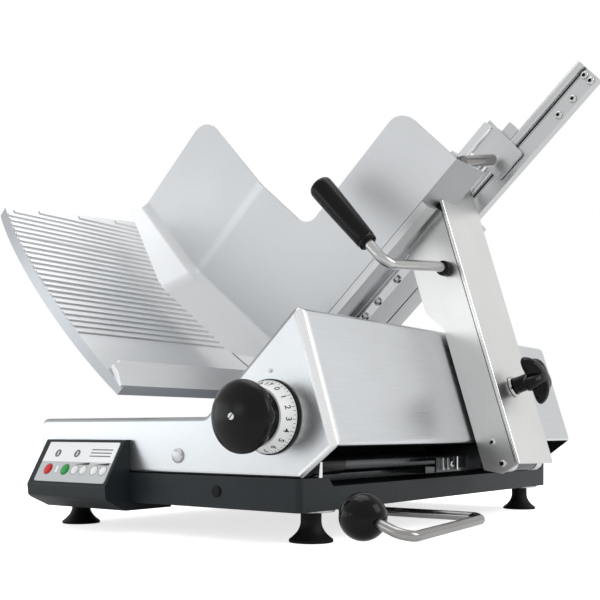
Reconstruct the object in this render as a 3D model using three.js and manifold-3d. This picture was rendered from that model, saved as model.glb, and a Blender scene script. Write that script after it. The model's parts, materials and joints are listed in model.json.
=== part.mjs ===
// Inclined deli meat slicer with a gravity-feed carriage, as an assembly of separate named parts.
//
// Millimetres, +Z up. The machine frame has x to the operator's right, y away from the operator and
// z up from the table; x = 0 and y = 0 lie at the plinth's front right corner. Two turned groups hold
// what is built on a slant, so that their parts stay axis-aligned in code:
//   - the feed group: local x runs up the feed slope (u), local y is y, local z is square to it (w);
//   - the post group: local x is square to the leaning side panel (p), local z runs up along it (q).
// The exported group is shifted so that its origin is the bottom centre of the whole machine.
import * as THREE from "three";
import { mergeVertices } from "three/addons/utils/BufferGeometryUtils.js";
import Module from "manifold-3d";

const wasm = await Module();
wasm.setup();

// ---------- driving dimensions ----------

const FEED_ANGLE = THREE.MathUtils.degToRad(42);
const LEAN_ANGLE = THREE.MathUtils.degToRad(17.5);
const GAP = 0.3; // between pieces that touch
const SHEET = 3; // folded cover sheet
const BEND_STEPS = 4; // facets along each bend of a round bar
const BEYOND = 1; // how far a cutter reaches past the face that it cuts

// plinth and feet
const PLINTH_WIDTH = 432;
const PLINTH_DEPTH = 650;
const PLINTH_BOTTOM = 37;
const PLINTH_TOP = 73.5;
const PLINTH_CORNER = 7;
const PLINTH_HOLLOW = 5; // depth of its underside inside the rim
const PLINTH_RIM = 6;
const PLINTH_PLUG_X = -118;
const PLINTH_PLUG_Z = 56;
const FOOT_INSET_FRONT = 60;
const FOOT_INSET_PANEL = 46; // of the foot under the control panel
const FOOT_INSET_REAR = 32;
const FOOT_INSET_RIGHT = 30;
const FOOT_INSET_LEFT = 26;
const FOOT_BASE_RADIUS = 25;
const FOOT_NECK_RADIUS = 11.8;
const FOOT_RIM = 3.5; // height of its edge on the table
const FOOT_COLLAR = 14; // length of its straight neck
const FOOT_PLATE_RADIUS = 27;
const FOOT_PLATE_THICKNESS = 2.7;

// housing
const DECK_TOP = 140; // top of the low, left part
const APEX_HEIGHT = 260.5;
const KNEE_X = 46; // where the leaning side panel ends below
const KNEE_HEIGHT = 110;
const HOUSING_SIDE = 1; // inset from the plinth's sides
const HOUSING_REAR = 12; // inset from the plinth's rear
const HOUSING_EDGE = 5; // rounding of the front and rear plate edges
const SIDE_BEND = 10; // rounding of the vertical front right bend
const FRONT_PLATE = 6;
const RECESS_FLOOR = 63;
const RECESS_CEILING = 108;
const RECESS_INNER_X = -92;
const RECESS_FRONT_Y = 50;
const RECESS_SLANT = 11;
const HOUSING_PLUG_X = -178;
const HOUSING_PLUG_Z = 95;
const HOUSING_PLUG_RADIUS = 8.6;

// carriage guide, in the recess
const GUIDE_X = -8;
const GUIDE_Z = 88;
const GUIDE_RADIUS = 10;
const GUIDE_BLOCK_WIDTH = 40;
const GUIDE_BLOCK_LENGTH = 12;
const GUIDE_SEAT = 3; // solid end of each guide block's bore
const BUFFER_RADIUS = 13.5;
const BUFFER_LENGTH = 62;
const TRACK_X = -70;
const TRACK_WIDTH = 12;
const TRACK_HEIGHT = 9;
const SLIDE_FRONT_Y = 316;
const SLIDE_LENGTH = 96;
const SLIDE_LEFT_X = -30;
const SLIDE_RIGHT_X = 52;
const SLIDE_BOTTOM = 76;

// carriage post and its tilting pivot
const POST_FRONT_Y = 306;
const POST_DEPTH = 107;
const POST_WIDTH = 48;
const POST_CLEARANCE = 4; // to the side panel
const POST_TOP_WIDTH = 67;
const POST_FOOT = 46; // q of its lower edge
const POST_TIP_FRONT = 408; // q of its right sheet's upper end, front and rear
const POST_TIP_REAR = 450;
const SHOULDER_LOW = 244;
const SHOULDER_HIGH = 274;
const PIVOT_RADIUS = 6;
const PIVOT_P = 108;
const PIVOT_Q = 53;
const LUG_RADIUS = 10;
const LUG_FRONT_Y = 330;
const LUG_REAR_Y = 386;
const LUG_PLAY = 2; // between its faces and the arm's cheeks
const ARM_REAR_Y = 404;
const ARM_INSET = 7; // between the arm's core and the outside of the cover
const ARM_FOOT = 75; // q of the core's lower end

// clamp knob on the post
const KNOB_Q = 149;
const KNOB_Y = 355;
const KNOB_WASHER_RADIUS = 14;
const KNOB_HUB_RADIUS = 11;
const KNOB_REACH = 48; // from the post to the middle of its dome
const KNOB_SPAN = 33.5; // axis to the tip of a lobe
const KNOB_LOBES = 5;

// product tray
const TRAY_SHEET = 2.2;
const TRAY_BOTTOM_W = 319; // product side of its bottom
const TRAY_FOLD_U = -19.5; // where its blade-side flange starts
const TRAY_FLANGE_SLOPE = 1; // run towards the operator per unit of u
const TRAY_FLANGE_TOP = 18; // width of the flange at the top, and from the middle of the wall down
const TRAY_FLANGE_WIDTH = 36;
const TRAY_FLOOR_U = -52;
const WALL_FOLD_W = 489;
const WALL_TOP_W = 641;
const WALL_Y = 200;
const WALL_SLANT = 0.406; // backward run of the lower wall per unit of w
const WALL_CORNER = 29;
const WING_END_U = 145;
const NOTCH_CORNER = 18;
const EAR_END_U = 342;
const EAR_TOP_W = 407;
const EAR_CORNER = 22;
const EAR_FLANGE = 34; // depth of the turned-in edge under the ear
const TRAY_BOTTOM_END_U = 275;
const TRAY_PROFILE = 12; // thickness of the bottom extrusion
const RAIL_Y = 424; // face towards the operator
const RAIL_THICKNESS = 14;
const RAIL_BOTTOM_W = 322;
const RAIL_TOP_W = 345; // of its flat bar
const RAIL_START_U = 62;
const RAIL_END_U = 514;
const RAIL_WEB = 6;
const RAIL_ROD_RADIUS = 8;
const RAIL_ROD_W = 357;

// tilting handle
const HANDLE_X = 8;
const HANDLE_Z = 335;
const HANDLE_RADIUS = 5.8;
const HANDLE_STUB = 27; // straight run in front of the post
const HANDLE_RISE = 36; // from its bend to the grip
const HANDLE_CORNER_Y = 157;
const HANDLE_CORNER_U = 220.7;
const HANDLE_CORNER_W = 233;
const HANDLE_BEND = 16;
const GRIP_LENGTH = 108;
const GRIP_FOOT_RADIUS = 10.5;
const GRIP_TOP_RADIUS = 14.6;

// remnant holder
const PUSHER_U = 260;
const PUSHER_Y = 300;
const PUSHER_WIDTH = 105;
const PUSHER_HEIGHT = 88;
const PUSHER_THICKNESS = 8;
const SPIKE_LENGTH = 7;
const SPIKE_RADIUS = 3;
const SLIDER_START_U = 323;
const SLIDER_END_U = 384;
const SLIDER_LOW_W = 331;
const SLIDER_TOP_W = 395;
const SLIDER_SHEET = 4;
const HOLDER_PIVOT_W = 380;
const HOLDER_PIVOT_RADIUS = 5;
const HOLDER_HUB_RADIUS = 11;
const HOLDER_HUB_LENGTH = 13;
const HOLDER_BAR_RADIUS = 6;
const HOLDER_BAR_Y = 330; // where its round bar ends
const HOLDER_BAR_W = 356;

// knife and gauge plate
const KNIFE_RADIUS = 165;
const KNIFE_Y = 405;
const KNIFE_W = 454;
const KNIFE_THICKNESS = 4;
const KNIFE_BEVEL = 12;
const SPINDLE_RADIUS = 12;
const COVER_MARGIN = 47; // from the cover disc to the knife's edge
const GUARD_GAP = 2;
const GUARD_WIDTH = 11;
const GUARD_REACH = THREE.MathUtils.degToRad(105);
const DRUM_BACK_U = -118;
const DRUM_FRONT_U = -88;
const DRUM_INSET = 15; // from the knife's edge
const DRUM_LEG_FRONT = 345;
const DRUM_LEG_REAR = 500;
const GAUGE_U = -75; // product side of the gauge plate
const GAUGE_THICKNESS = 15;
const GAUGE_BOTTOM_W = 307;
const GAUGE_TOP_W = 643; // of its front top corner
const GAUGE_TOP_SLOPE = 0.1395;
const GAUGE_FRONT_Y = -9; // of its lower front corner
const GAUGE_BELLY = 36; // how far its front edge swells past that corner
const GAUGE_REAR_Y = 300;
const LEDGE_DEPTH = 15; // of the wedge along its foot
const LEDGE_W = 336.5;
const LEDGE_CORNER = 8;
const KNIFE_SLOT = 3.5; // between knife edge and gauge plate
const RIB_PITCH = 10.6;
const RIB_HEIGHT = 2;
const RIB_COUNT = 22;
const RIB_START_W = 400;
const RIB_BASE = 8.6;
const RIB_CREST = 4.4;
const GAUGE_GUIDE_FRONT = 200;
const GAUGE_GUIDE_DEPTH = 60;
const GAUGE_GUIDE_TOP = 285.7;
const GAUGE_KEEL_DEPTH = 16;

// slice-thickness dial
const DIAL_X = -40;
const DIAL_Z = 139;
const DIAL_RADIUS = 41;
const DIAL_FLANGE = 3.4;
const SCALE_END = 22;
const KNOB_RADIUS = 39;
const KNOB_RIM = 48; // distance of its rim from the front plate
const KNOB_DOME = 17;
const KNOB_NECK_RADIUS = 30;
const KNOB_FLUTES = 8;
const SCREW_RADIUS = 3.2;

// control panel
const PANEL_LEFT = -408;
const PANEL_RIGHT = -260;
const PANEL_TOP = 113;
const PANEL_CHEEK_Y = -8;
const PANEL_NOSE_Y = -40;
const PANEL_NOSE_Z = 57;
const PANEL_REACH = 70; // of the pan that runs back under the plinth
const PANEL_PAN = 10;
const PANEL_BORDER = 4;
const PANEL_BORDER_LEFT = 11;
const FACE_THICKNESS = 1.2;
const BUTTON_CLEARANCE = 0.4;
const BUTTON_DEPTH = 4;
const BUTTON_ROW = 0.33; // share of the slope, from its nose
const BUTTONS = [
  ["stop_button", -378, 5.6],
  ["start_button", -345, 5.6],
  ["stroke_minus_button", -327, 4.6],
  ["stroke_plus_button", -311, 4.6],
  ["speed_minus_button", -291, 4.6],
  ["speed_plus_button", -275, 4.6],
];

// lift lever
const LEVER_Y = 150;
const LEVER_Z = 30;
const LEVER_RADIUS = 5.2;
const LEVER_BEND = 14;
const BALL_RADIUS = 23.5;
const CAM_X = -40;
const CAM_WIDTH = 12;
const CAM_REACH = 24;
const BEARING_X = -20;
const BEARING_WIDTH = 12;

// ---------- derived places ----------

const COS_FEED = Math.cos(FEED_ANGLE);
const SIN_FEED = Math.sin(FEED_ANGLE);
const COS_LEAN = Math.cos(LEAN_ANGLE);
const SIN_LEAN = Math.sin(LEAN_ANGLE);
const APEX_X = KNEE_X - (APEX_HEIGHT - KNEE_HEIGHT) * Math.tan(LEAN_ANGLE);
const SLOPE_W = APEX_HEIGHT * COS_FEED - APEX_X * SIN_FEED;
const SLOPE_START_X = APEX_X - (APEX_HEIGHT - DECK_TOP) / Math.tan(FEED_ANGLE);
const PANEL_P = KNEE_X * COS_LEAN + KNEE_HEIGHT * SIN_LEAN;
const POST_INNER_P = PANEL_P + POST_CLEARANCE;
const POST_OUTER_P = POST_INNER_P + POST_WIDTH;
const POST_REAR_Y = POST_FRONT_Y + POST_DEPTH;
const TRAY_UNDER_W = TRAY_BOTTOM_W - TRAY_SHEET - GAP - TRAY_PROFILE;
const WALL_FOOT_Y = WALL_Y + WALL_SLANT * (WALL_FOLD_W - TRAY_BOTTOM_W);
const KNIFE_U = GAUGE_U - KNIFE_THICKNESS; // rear face of the knife
const HOUSING_REAR_Y = PLINTH_DEPTH - HOUSING_REAR;
const RECESS_REAR_Y = HOUSING_REAR_Y - FRONT_PLATE;
const PANEL_TILT = Math.atan2(PANEL_TOP - PANEL_NOSE_Z, PANEL_CHEEK_Y - PANEL_NOSE_Y);
const PANEL_SLOPE = Math.hypot(PANEL_TOP - PANEL_NOSE_Z, PANEL_CHEEK_Y - PANEL_NOSE_Y);
const PIVOT_X = PIVOT_P * COS_LEAN - PIVOT_Q * SIN_LEAN;
const PIVOT_Z = PIVOT_P * SIN_LEAN + PIVOT_Q * COS_LEAN;
const ARM_FRONT_Y = POST_FRONT_Y + SHEET + GAP;
const ARM_TOP_W = TRAY_UNDER_W - GAP;
const SLIDER_Y = RAIL_Y + RAIL_THICKNESS / 2; // middle of the rail
// Height of the housing's slanted lower edge, between the plinth and the knee.
const eaveHeight = (x) =>
  THREE.MathUtils.mapLinear(x, -HOUSING_SIDE, KNEE_X, PLINTH_TOP + GAP, KNEE_HEIGHT);

const machine = new THREE.Group();
const feed = new THREE.Group();
feed.rotation.y = -FEED_ANGLE;
const post = new THREE.Group();
post.rotation.y = -LEAN_ANGLE;
machine.add(feed, post);

// ---------- materials ----------

const finish = (color, roughness, metalness) => () =>
  new THREE.MeshStandardMaterial({ color, roughness, metalness });
const anodised = finish(0xc9ccce, 0.38, 0.8);
const stainless = finish(0xd5d8da, 0.3, 0.9);
const polished = finish(0xe8eaec, 0.12, 1);
const anthracite = finish(0x2d3235, 0.5, 0.1);
const blackPlastic = finish(0x16181a, 0.35, 0);
const rubber = finish(0x1b1d1f, 0.85, 0);
const whitePlastic = finish(0xf0f1f0, 0.45, 0);
const greyFoil = finish(0xa4a8ab, 0.55, 0);
const redPlastic = finish(0xc4161c, 0.4, 0);
const greenPlastic = finish(0x1d9a4a, 0.4, 0);

// ---------- shaping ----------

// A geometry as a manifold solid.
function solid(geometry) {
  const bare = geometry.clone();
  bare.deleteAttribute("normal");
  bare.deleteAttribute("uv");
  const merged = mergeVertices(bare, 1e-4);
  return new wasm.Manifold(
    new wasm.Mesh({
      numProp: 3,
      vertProperties: new Float32Array(merged.attributes.position.array),
      triVerts: new Uint32Array(merged.index.array),
    }),
  );
}

function geometryOf(body) {
  const mesh = body.getMesh();
  const geometry = new THREE.BufferGeometry();
  geometry.setAttribute("position", new THREE.BufferAttribute(mesh.vertProperties, 3));
  geometry.setIndex(new THREE.BufferAttribute(mesh.triVerts, 1));
  return geometry;
}

const join = (first, ...others) =>
  geometryOf(others.reduce((body, other) => body.add(solid(other)), solid(first)));
const cut = (first, ...others) =>
  geometryOf(others.reduce((body, other) => body.subtract(solid(other)), solid(first)));
const common = (first, other) => geometryOf(solid(first).intersect(solid(other)));

function place(name, geometry, material, parent = machine) {
  const shown = geometry.index ? geometry.toNonIndexed() : geometry;
  shown.computeVertexNormals();
  const mesh = new THREE.Mesh(shown, material());
  mesh.name = name;
  parent.add(mesh);
  return mesh;
}

// A box between two corners.
function block(x0, x1, y0, y1, z0, z1) {
  const geometry = new THREE.BoxGeometry(x1 - x0, y1 - y0, z1 - z0);
  return geometry.translate((x0 + x1) / 2, (y0 + y1) / 2, (z0 + z1) / 2);
}

// A closed outline through corners [x, y, radius], each rounded by its own radius.
function outline(corners) {
  const shape = new THREE.Shape();
  const count = corners.length;
  for (let i = 0; i < count; i++) {
    const [x, y, radius = 0] = corners[i];
    const corner = new THREE.Vector2(x, y);
    if (!radius) {
      i ? shape.lineTo(x, y) : shape.moveTo(x, y);
      continue;
    }
    const back = new THREE.Vector2(...corners[(i + count - 1) % count]).sub(corner).normalize();
    const ahead = new THREE.Vector2(...corners[(i + 1) % count]).sub(corner).normalize();
    const half = Math.acos(THREE.MathUtils.clamp(back.dot(ahead), -1, 1)) / 2;
    const centre = back.clone().add(ahead).normalize().multiplyScalar(radius / Math.sin(half)).add(corner);
    const start = back.multiplyScalar(radius / Math.tan(half)).add(corner).sub(centre);
    const end = ahead.clone().multiplyScalar(radius / Math.tan(half)).add(corner).sub(centre);
    const clockwise = start.cross(end) < 0;
    if (i) shape.lineTo(centre.x + start.x, centre.y + start.y);
    shape.absarc(centre.x, centre.y, radius, start.angle(), end.angle(), clockwise);
  }
  return shape;
}

const rectangle = (x0, x1, y0, y1, radius = 0) =>
  outline([[x0, y0, radius], [x1, y0, radius], [x1, y1, radius], [x0, y1, radius]]);

function disc(x, y, radius) {
  return new THREE.Shape().absarc(x, y, radius, 0, 2 * Math.PI);
}

function extrude(shape, depth, options) {
  return new THREE.ExtrudeGeometry(shape, { depth, bevelEnabled: false, curveSegments: 4, ...options });
}

// Prisms of an outline drawn in the plane square to the axis that they run along.
const prismZ = (shape, from, to, options) => extrude(shape, to - from, options).translate(0, 0, from);
const prismY = (shape, from, to, options) =>
  extrude(shape, to - from, options).rotateX(Math.PI / 2).translate(0, to, 0);
const CYCLE = new THREE.Matrix4().set(0, 0, 1, 0, 1, 0, 0, 0, 0, 1, 0, 0, 0, 0, 0, 1);
const prismX = (shape, from, to, options) =>
  extrude(shape, to - from, options).applyMatrix4(CYCLE).translate(from, 0, 0);

// A turned piece: [radius, height] pairs from the low end to the high end.
function turned(profile, segments = 40) {
  return new THREE.LatheGeometry(profile.map(([r, h]) => new THREE.Vector2(r, h)), segments);
}
const turnedAlongZ = (profile, segments) => turned(profile, segments).rotateX(Math.PI / 2);
const turnedAlongX = (profile, segments) => turned(profile, segments).rotateZ(-Math.PI / 2);
// Heights run towards the operator, from the front plate outwards.
const turnedTowardsFront = (profile, segments) => turned(profile, segments).rotateZ(Math.PI);

// A path through knots, one parameter step per run, so that straight runs take no extra facets.
class KnotPath extends THREE.Curve {
  constructor(knots) {
    super();
    this.knots = knots;
  }

  getPoint(t) {
    const runs = this.knots.length - 1;
    const run = Math.min(Math.floor(t * runs), runs - 1);
    return new THREE.Vector3().lerpVectors(this.knots[run], this.knots[run + 1], t * runs - run);
  }

  getUtoTmapping(u) {
    return u;
  }
}

// A round bar along straight runs joined by bends.
function bentBar(points, radius, bend) {
  const knots = [points[0]];
  for (let i = 1; i < points.length - 1; i++) {
    const towards = points[i - 1].clone().sub(points[i]).setLength(bend).add(points[i]);
    const away = points[i + 1].clone().sub(points[i]).setLength(bend).add(points[i]);
    knots.push(...new THREE.QuadraticBezierCurve3(towards, points[i], away).getPoints(BEND_STEPS));
  }
  knots.push(points.at(-1));
  return new THREE.ExtrudeGeometry(disc(0, 0, radius), {
    steps: knots.length - 1,
    extrudePath: new KnotPath(knots),
    curveSegments: 6,
  });
}

// Plain round bars, upright (low to high) and along x.
const bar = (radius, low, high, segments) =>
  turnedAlongZ([[0, low], [radius, low], [radius, high], [0, high]], segments);
const xBar = (radius, from, to, segments = 24) =>
  turnedAlongX([[0, from], [radius, from], [radius, to], [0, to]], segments);
// A round bar along y.
const yBar = (radius, from, to, segments = 32) =>
  turned([[0, from], [radius, from], [radius, to], [0, to]], segments);

const vector = (x, y, z) => new THREE.Vector3(x, y, z);
// q on the post where a given w is reached at a given p.
const postHeight = (w, p) => (w + p * Math.sin(FEED_ANGLE - LEAN_ANGLE)) / Math.cos(FEED_ANGLE - LEAN_ANGLE);

// ---------- base ----------

const plinthOutline = (inset) =>
  rectangle(-PLINTH_WIDTH + inset, -inset, inset, PLINTH_DEPTH - inset, PLINTH_CORNER);

function buildPlinth() {
  const body = prismZ(plinthOutline(0), PLINTH_BOTTOM, PLINTH_TOP);
  const hollowTop = PLINTH_BOTTOM + PLINTH_HOLLOW;
  const underside = prismZ(plinthOutline(PLINTH_RIM), PLINTH_BOTTOM - BEYOND, hollowTop);
  const recess = prismX(
    outline([
      [RECESS_FRONT_Y, PLINTH_TOP + BEYOND],
      [RECESS_FRONT_Y + RECESS_SLANT, RECESS_FLOOR],
      [RECESS_REAR_Y, RECESS_FLOOR],
      [RECESS_REAR_Y, PLINTH_TOP + BEYOND],
    ]),
    RECESS_INNER_X,
    BEYOND,
  );
  const padRadius = FOOT_PLATE_RADIUS - 2;
  const pads = footPlaces().map(([x, y]) =>
    bar(padRadius, PLINTH_BOTTOM, hollowTop + BEYOND, 20).translate(x, y, 0),
  );
  place("plinth", join(cut(body, underside, recess), ...pads), anthracite);
  const plug = turnedTowardsFront([[0, GAP], [6.5, GAP], [6.5, 1.4], [5, 2.2], [0, 2.2]], 20);
  place("plinth_plug", plug.translate(PLINTH_PLUG_X, 0, PLINTH_PLUG_Z), rubber);
}

function footPlaces() {
  const left = -PLINTH_WIDTH + FOOT_INSET_LEFT;
  const rear = PLINTH_DEPTH - FOOT_INSET_REAR;
  return [
    [left, FOOT_INSET_PANEL, "front_left"],
    [-FOOT_INSET_RIGHT, FOOT_INSET_FRONT, "front_right"],
    [left, rear, "rear_left"],
    [-FOOT_INSET_RIGHT, rear, "rear_right"],
  ];
}

function buildFeet() {
  const plateTop = PLINTH_BOTTOM - GAP;
  const plateLow = plateTop - FOOT_PLATE_THICKNESS;
  const top = plateLow - GAP;
  const edge = FOOT_RIM / 2;
  const steps = 4;
  const flare = [];
  for (let i = 0; i <= steps; i++) {
    const t = i / steps;
    const radius = FOOT_NECK_RADIUS + (FOOT_BASE_RADIUS - FOOT_NECK_RADIUS) * (1 - t) ** 2.4;
    flare.push([radius, FOOT_RIM + t * (top - FOOT_COLLAR)]);
  }
  const profile = [
    [0, 0],
    [FOOT_BASE_RADIUS - edge, 0],
    [FOOT_BASE_RADIUS, edge],
    ...flare,
    [FOOT_NECK_RADIUS, top],
    [0, top],
  ];
  for (const [x, y, corner] of footPlaces()) {
    place(`foot_${corner}`, turnedAlongZ(profile, 20).translate(x, y, 0), rubber);
    const plate = bar(FOOT_PLATE_RADIUS, plateLow, plateTop, 20);
    place(`foot_plate_${corner}`, plate.translate(x, y, 0), anodised);
  }
}

function buildHousing() {
  const profile = outline([
    [-PLINTH_WIDTH + HOUSING_SIDE, PLINTH_TOP + GAP],
    [-HOUSING_SIDE, PLINTH_TOP + GAP],
    [KNEE_X, KNEE_HEIGHT, 7],
    [APEX_X, APEX_HEIGHT, 8],
    [SLOPE_START_X, DECK_TOP, 14],
    [-PLINTH_WIDTH + HOUSING_SIDE, DECK_TOP, 10],
  ]);
  const body = prismY(profile, HOUSING_EDGE, HOUSING_REAR_Y - HOUSING_EDGE, {
    bevelEnabled: true,
    bevelThickness: HOUSING_EDGE,
    bevelSize: HOUSING_EDGE,
    bevelOffset: -HOUSING_EDGE,
    bevelSegments: 3,
    curveSegments: 3,
  });
  const bend = new THREE.Shape();
  bend.moveTo(PANEL_P - SIDE_BEND, -BEYOND);
  bend.lineTo(PANEL_P + BEYOND, -BEYOND);
  bend.lineTo(PANEL_P + BEYOND, SIDE_BEND);
  bend.lineTo(PANEL_P, SIDE_BEND);
  bend.absarc(PANEL_P - SIDE_BEND, SIDE_BEND, SIDE_BEND, 0, -Math.PI / 2, true);
  const bendCutter = prismZ(bend, KNEE_HEIGHT / 2, APEX_HEIGHT * 1.2).rotateY(-LEAN_ANGLE);
  const recess = block(
    RECESS_INNER_X, KNEE_X + SIDE_BEND, FRONT_PLATE, RECESS_REAR_Y, PLINTH_TOP - BEYOND, RECESS_CEILING,
  );
  place("housing", cut(body, bendCutter, recess), stainless);
  const radius = HOUSING_PLUG_RADIUS;
  const plug = turnedTowardsFront(
    [[0, GAP], [radius, GAP], [radius, 1.2], [radius * 0.75, 2.6], [radius * 0.4, 3.4], [0, 3.6]],
    20,
  );
  place("housing_plug", plug.translate(HOUSING_PLUG_X, 0, HOUSING_PLUG_Z), polished);
  const index = turnedTowardsFront([[0, GAP], [2.2, GAP], [2.2, 1.6], [0, 2.2]], 12);
  place("dial_index", index.translate(DIAL_X, 0, DIAL_Z + DIAL_RADIUS + 9), whitePlastic);
}

function buildGuide() {
  const front = FRONT_PLATE + GAP;
  const rear = RECESS_REAR_Y - GAP;
  const top = RECESS_CEILING - GAP;
  const half = GUIDE_BLOCK_WIDTH / 2;
  const onGuide = (geometry) => geometry.translate(GUIDE_X, 0, GUIDE_Z);
  const bore = onGuide(yBar(GUIDE_RADIUS + GAP, front + GUIDE_SEAT, rear - GUIDE_SEAT, 28));
  const [left, right, edge] = [GUIDE_X - half, GUIDE_X + half, -HOUSING_SIDE - 1];
  const section = (foot) =>
    outline([...foot, [right, eaveHeight(right) + 1], [right, top], [left, top]]);
  const [sill, floor] = [PLINTH_TOP + GAP, RECESS_FLOOR + GAP];
  const frontBlock = prismY(section([[left, sill], [edge, sill]]), front, front + GUIDE_BLOCK_LENGTH);
  const rearFoot = [[left, floor], [edge, floor], [edge, sill]];
  const rearBlock = prismY(section(rearFoot), rear - GUIDE_BLOCK_LENGTH, rear);
  place("guide_block_front", cut(frontBlock, bore), anthracite);
  place("guide_block_rear", cut(rearBlock, bore), anthracite);
  const rod = yBar(GUIDE_RADIUS, front + GUIDE_SEAT + GAP, rear - GUIDE_SEAT - GAP, 28);
  place("guide_rod", onGuide(rod), polished);
  const bufferStart = front + GUIDE_BLOCK_LENGTH + GAP;
  const inner = GUIDE_RADIUS + GAP;
  const bufferEnd = bufferStart + BUFFER_LENGTH;
  const buffer = turned(
    [
      [inner, bufferStart],
      [BUFFER_RADIUS, bufferStart],
      [BUFFER_RADIUS, bufferEnd],
      [inner, bufferEnd],
      [inner, bufferStart],
    ],
    28,
  );
  place("guide_buffer", onGuide(buffer), rubber);
  const track = block(
    TRACK_X - TRACK_WIDTH / 2, TRACK_X + TRACK_WIDTH / 2,
    RECESS_FRONT_Y + 20, RECESS_REAR_Y - GAP,
    RECESS_FLOOR + GAP, RECESS_FLOOR + GAP + TRACK_HEIGHT,
  );
  place("carriage_track", track, anodised);
}

// ---------- control panel ----------

const onPanel = (geometry) => geometry.rotateX(PANEL_TILT).translate(0, PANEL_NOSE_Y, PANEL_NOSE_Z);

function buildPanel() {
  const inset = 0.6; // of the face below its frame
  const row = BUTTON_ROW * PANEL_SLOPE;
  const panLow = PLINTH_BOTTOM - PANEL_PAN;
  const section = outline([
    [-GAP, PANEL_TOP],
    [PANEL_CHEEK_Y, PANEL_TOP, 3],
    [PANEL_NOSE_Y, PANEL_NOSE_Z, 4],
    [PANEL_NOSE_Y + 1.5, PANEL_NOSE_Z - 14, 2],
    [PANEL_NOSE_Y + 6, PLINTH_BOTTOM + 2.5],
    [PANEL_NOSE_Y + 33, panLow, 5],
    [PANEL_REACH, panLow],
    [PANEL_REACH, PLINTH_BOTTOM - GAP],
    [-GAP, PLINTH_BOTTOM - GAP],
  ]);
  const body = prismX(section, PANEL_LEFT, PANEL_RIGHT);
  const window = (border, radius) => rectangle(
    PANEL_LEFT + PANEL_BORDER_LEFT + border, PANEL_RIGHT - PANEL_BORDER - border,
    PANEL_BORDER + border, PANEL_SLOPE - PANEL_BORDER - border, radius,
  );
  const holes = BUTTONS.map(([, x, radius]) =>
    onPanel(bar(radius + BUTTON_CLEARANCE, -BUTTON_DEPTH - 2, BUTTON_DEPTH + 2, 12).translate(x, row, 0)),
  );
  const [footX, footY] = footPlaces()[0];
  const footRoom = bar(FOOT_PLATE_RADIUS + 2, panLow - BEYOND, PLINTH_BOTTOM, 20);
  const bed = onPanel(prismZ(window(0, 4), -inset, BUTTON_DEPTH + 2));
  place("panel_box", cut(body, bed, footRoom.translate(footX, footY, 0), ...holes), anthracite);
  const face = onPanel(prismZ(window(GAP, 3.7), GAP - inset, GAP - inset + FACE_THICKNESS));
  place("panel_face", cut(face, ...holes), greyFoil);
  const capColours = { stop_button: redPlastic, start_button: greenPlastic };
  for (const [name, x, radius] of BUTTONS) {
    const profile = [
      [0, -BUTTON_DEPTH],
      [radius, -BUTTON_DEPTH],
      [radius, 1.8],
      [radius - 0.8, 2.6],
      [0, 2.8],
    ];
    const cap = turnedAlongZ(profile, 12);
    place(name, onPanel(cap.translate(x, row, 0)), capColours[name] ?? whitePlastic);
  }
}

// ---------- slice-thickness dial ----------

// Quarter-round profile from a rim down to a small flat of radius `flat`.
function dome(rim, flat, base, height, steps) {
  const points = [];
  for (let i = 0; i <= steps; i++) {
    const angle = (i / steps) * (Math.PI / 2);
    points.push([Math.max(flat, rim * Math.cos(angle)), base + height * Math.sin(angle)]);
  }
  return points;
}

function buildDial() {
  const dialAt = (geometry) => geometry.translate(DIAL_X, 0, DIAL_Z);
  const flange = [
    [0, GAP],
    [DIAL_RADIUS, GAP],
    [DIAL_RADIUS, DIAL_FLANGE - 1],
    [DIAL_RADIUS - 1, DIAL_FLANGE],
    [0, DIAL_FLANGE],
  ];
  place("dial_flange", dialAt(turnedTowardsFront(flange, 36)), blackPlastic);
  const scaleStart = DIAL_FLANGE + GAP;
  const scaleRadius = DIAL_RADIUS - 1.5;
  const scale = [
    [0, scaleStart],
    [scaleRadius, scaleStart],
    [scaleRadius, scaleStart + 1.5],
    [KNOB_NECK_RADIUS + 2, SCALE_END],
    [0, SCALE_END],
  ];
  place("dial_scale", dialAt(turnedTowardsFront(scale, 36)), whitePlastic);
  const neck = KNOB_NECK_RADIUS;
  const neckStart = SCALE_END + GAP;
  const screwHole = SCREW_RADIUS + GAP;
  const screwFloor = KNOB_RIM + KNOB_DOME - 4;
  const profile = [
    [0, neckStart],
    [neck, neckStart],
    [neck, neckStart + 2],
    [neck - 1.5, neckStart + 3],
    [neck, KNOB_RIM - 14],
    [KNOB_RADIUS - 3, KNOB_RIM - 7],
    [KNOB_RADIUS, KNOB_RIM - 3],
    ...dome(KNOB_RADIUS, screwHole, KNOB_RIM, KNOB_DOME, 5),
    [screwHole, screwFloor],
    [0, screwFloor],
  ];
  const knob = turnedTowardsFront(profile, 32);
  const flutes = [];
  const fluteStart = neckStart + 3;
  const fluteAxis = neck * 1.18;
  for (let i = 0; i < KNOB_FLUTES; i++) {
    const angle = ((i + 0.5) / KNOB_FLUTES) * 2 * Math.PI;
    const flute = turnedTowardsFront(
      [[0, fluteStart], [7, fluteStart], [7, KNOB_RIM - 12], [0, KNOB_RIM - 5]],
      8,
    );
    flutes.push(flute.translate(fluteAxis * Math.cos(angle), 0, fluteAxis * Math.sin(angle)));
  }
  place("dial_knob", dialAt(cut(knob, ...flutes)), blackPlastic);
  const screwTop = KNOB_RIM + KNOB_DOME;
  const screw = turnedTowardsFront(
    [
      [0, screwFloor + GAP],
      [SCREW_RADIUS, screwFloor + GAP],
      [SCREW_RADIUS, screwTop - 0.7],
      [SCREW_RADIUS - 0.8, screwTop],
      [0, screwTop],
    ],
    16,
  );
  const slotReach = SCREW_RADIUS + BEYOND;
  const slot = block(-0.5, 0.5, -screwTop - BEYOND, -screwTop + 1, -slotReach, slotReach);
  place("dial_screw", dialAt(cut(screw, slot.rotateY(Math.PI / 4))), polished);
}

// ---------- lift lever ----------

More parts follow.
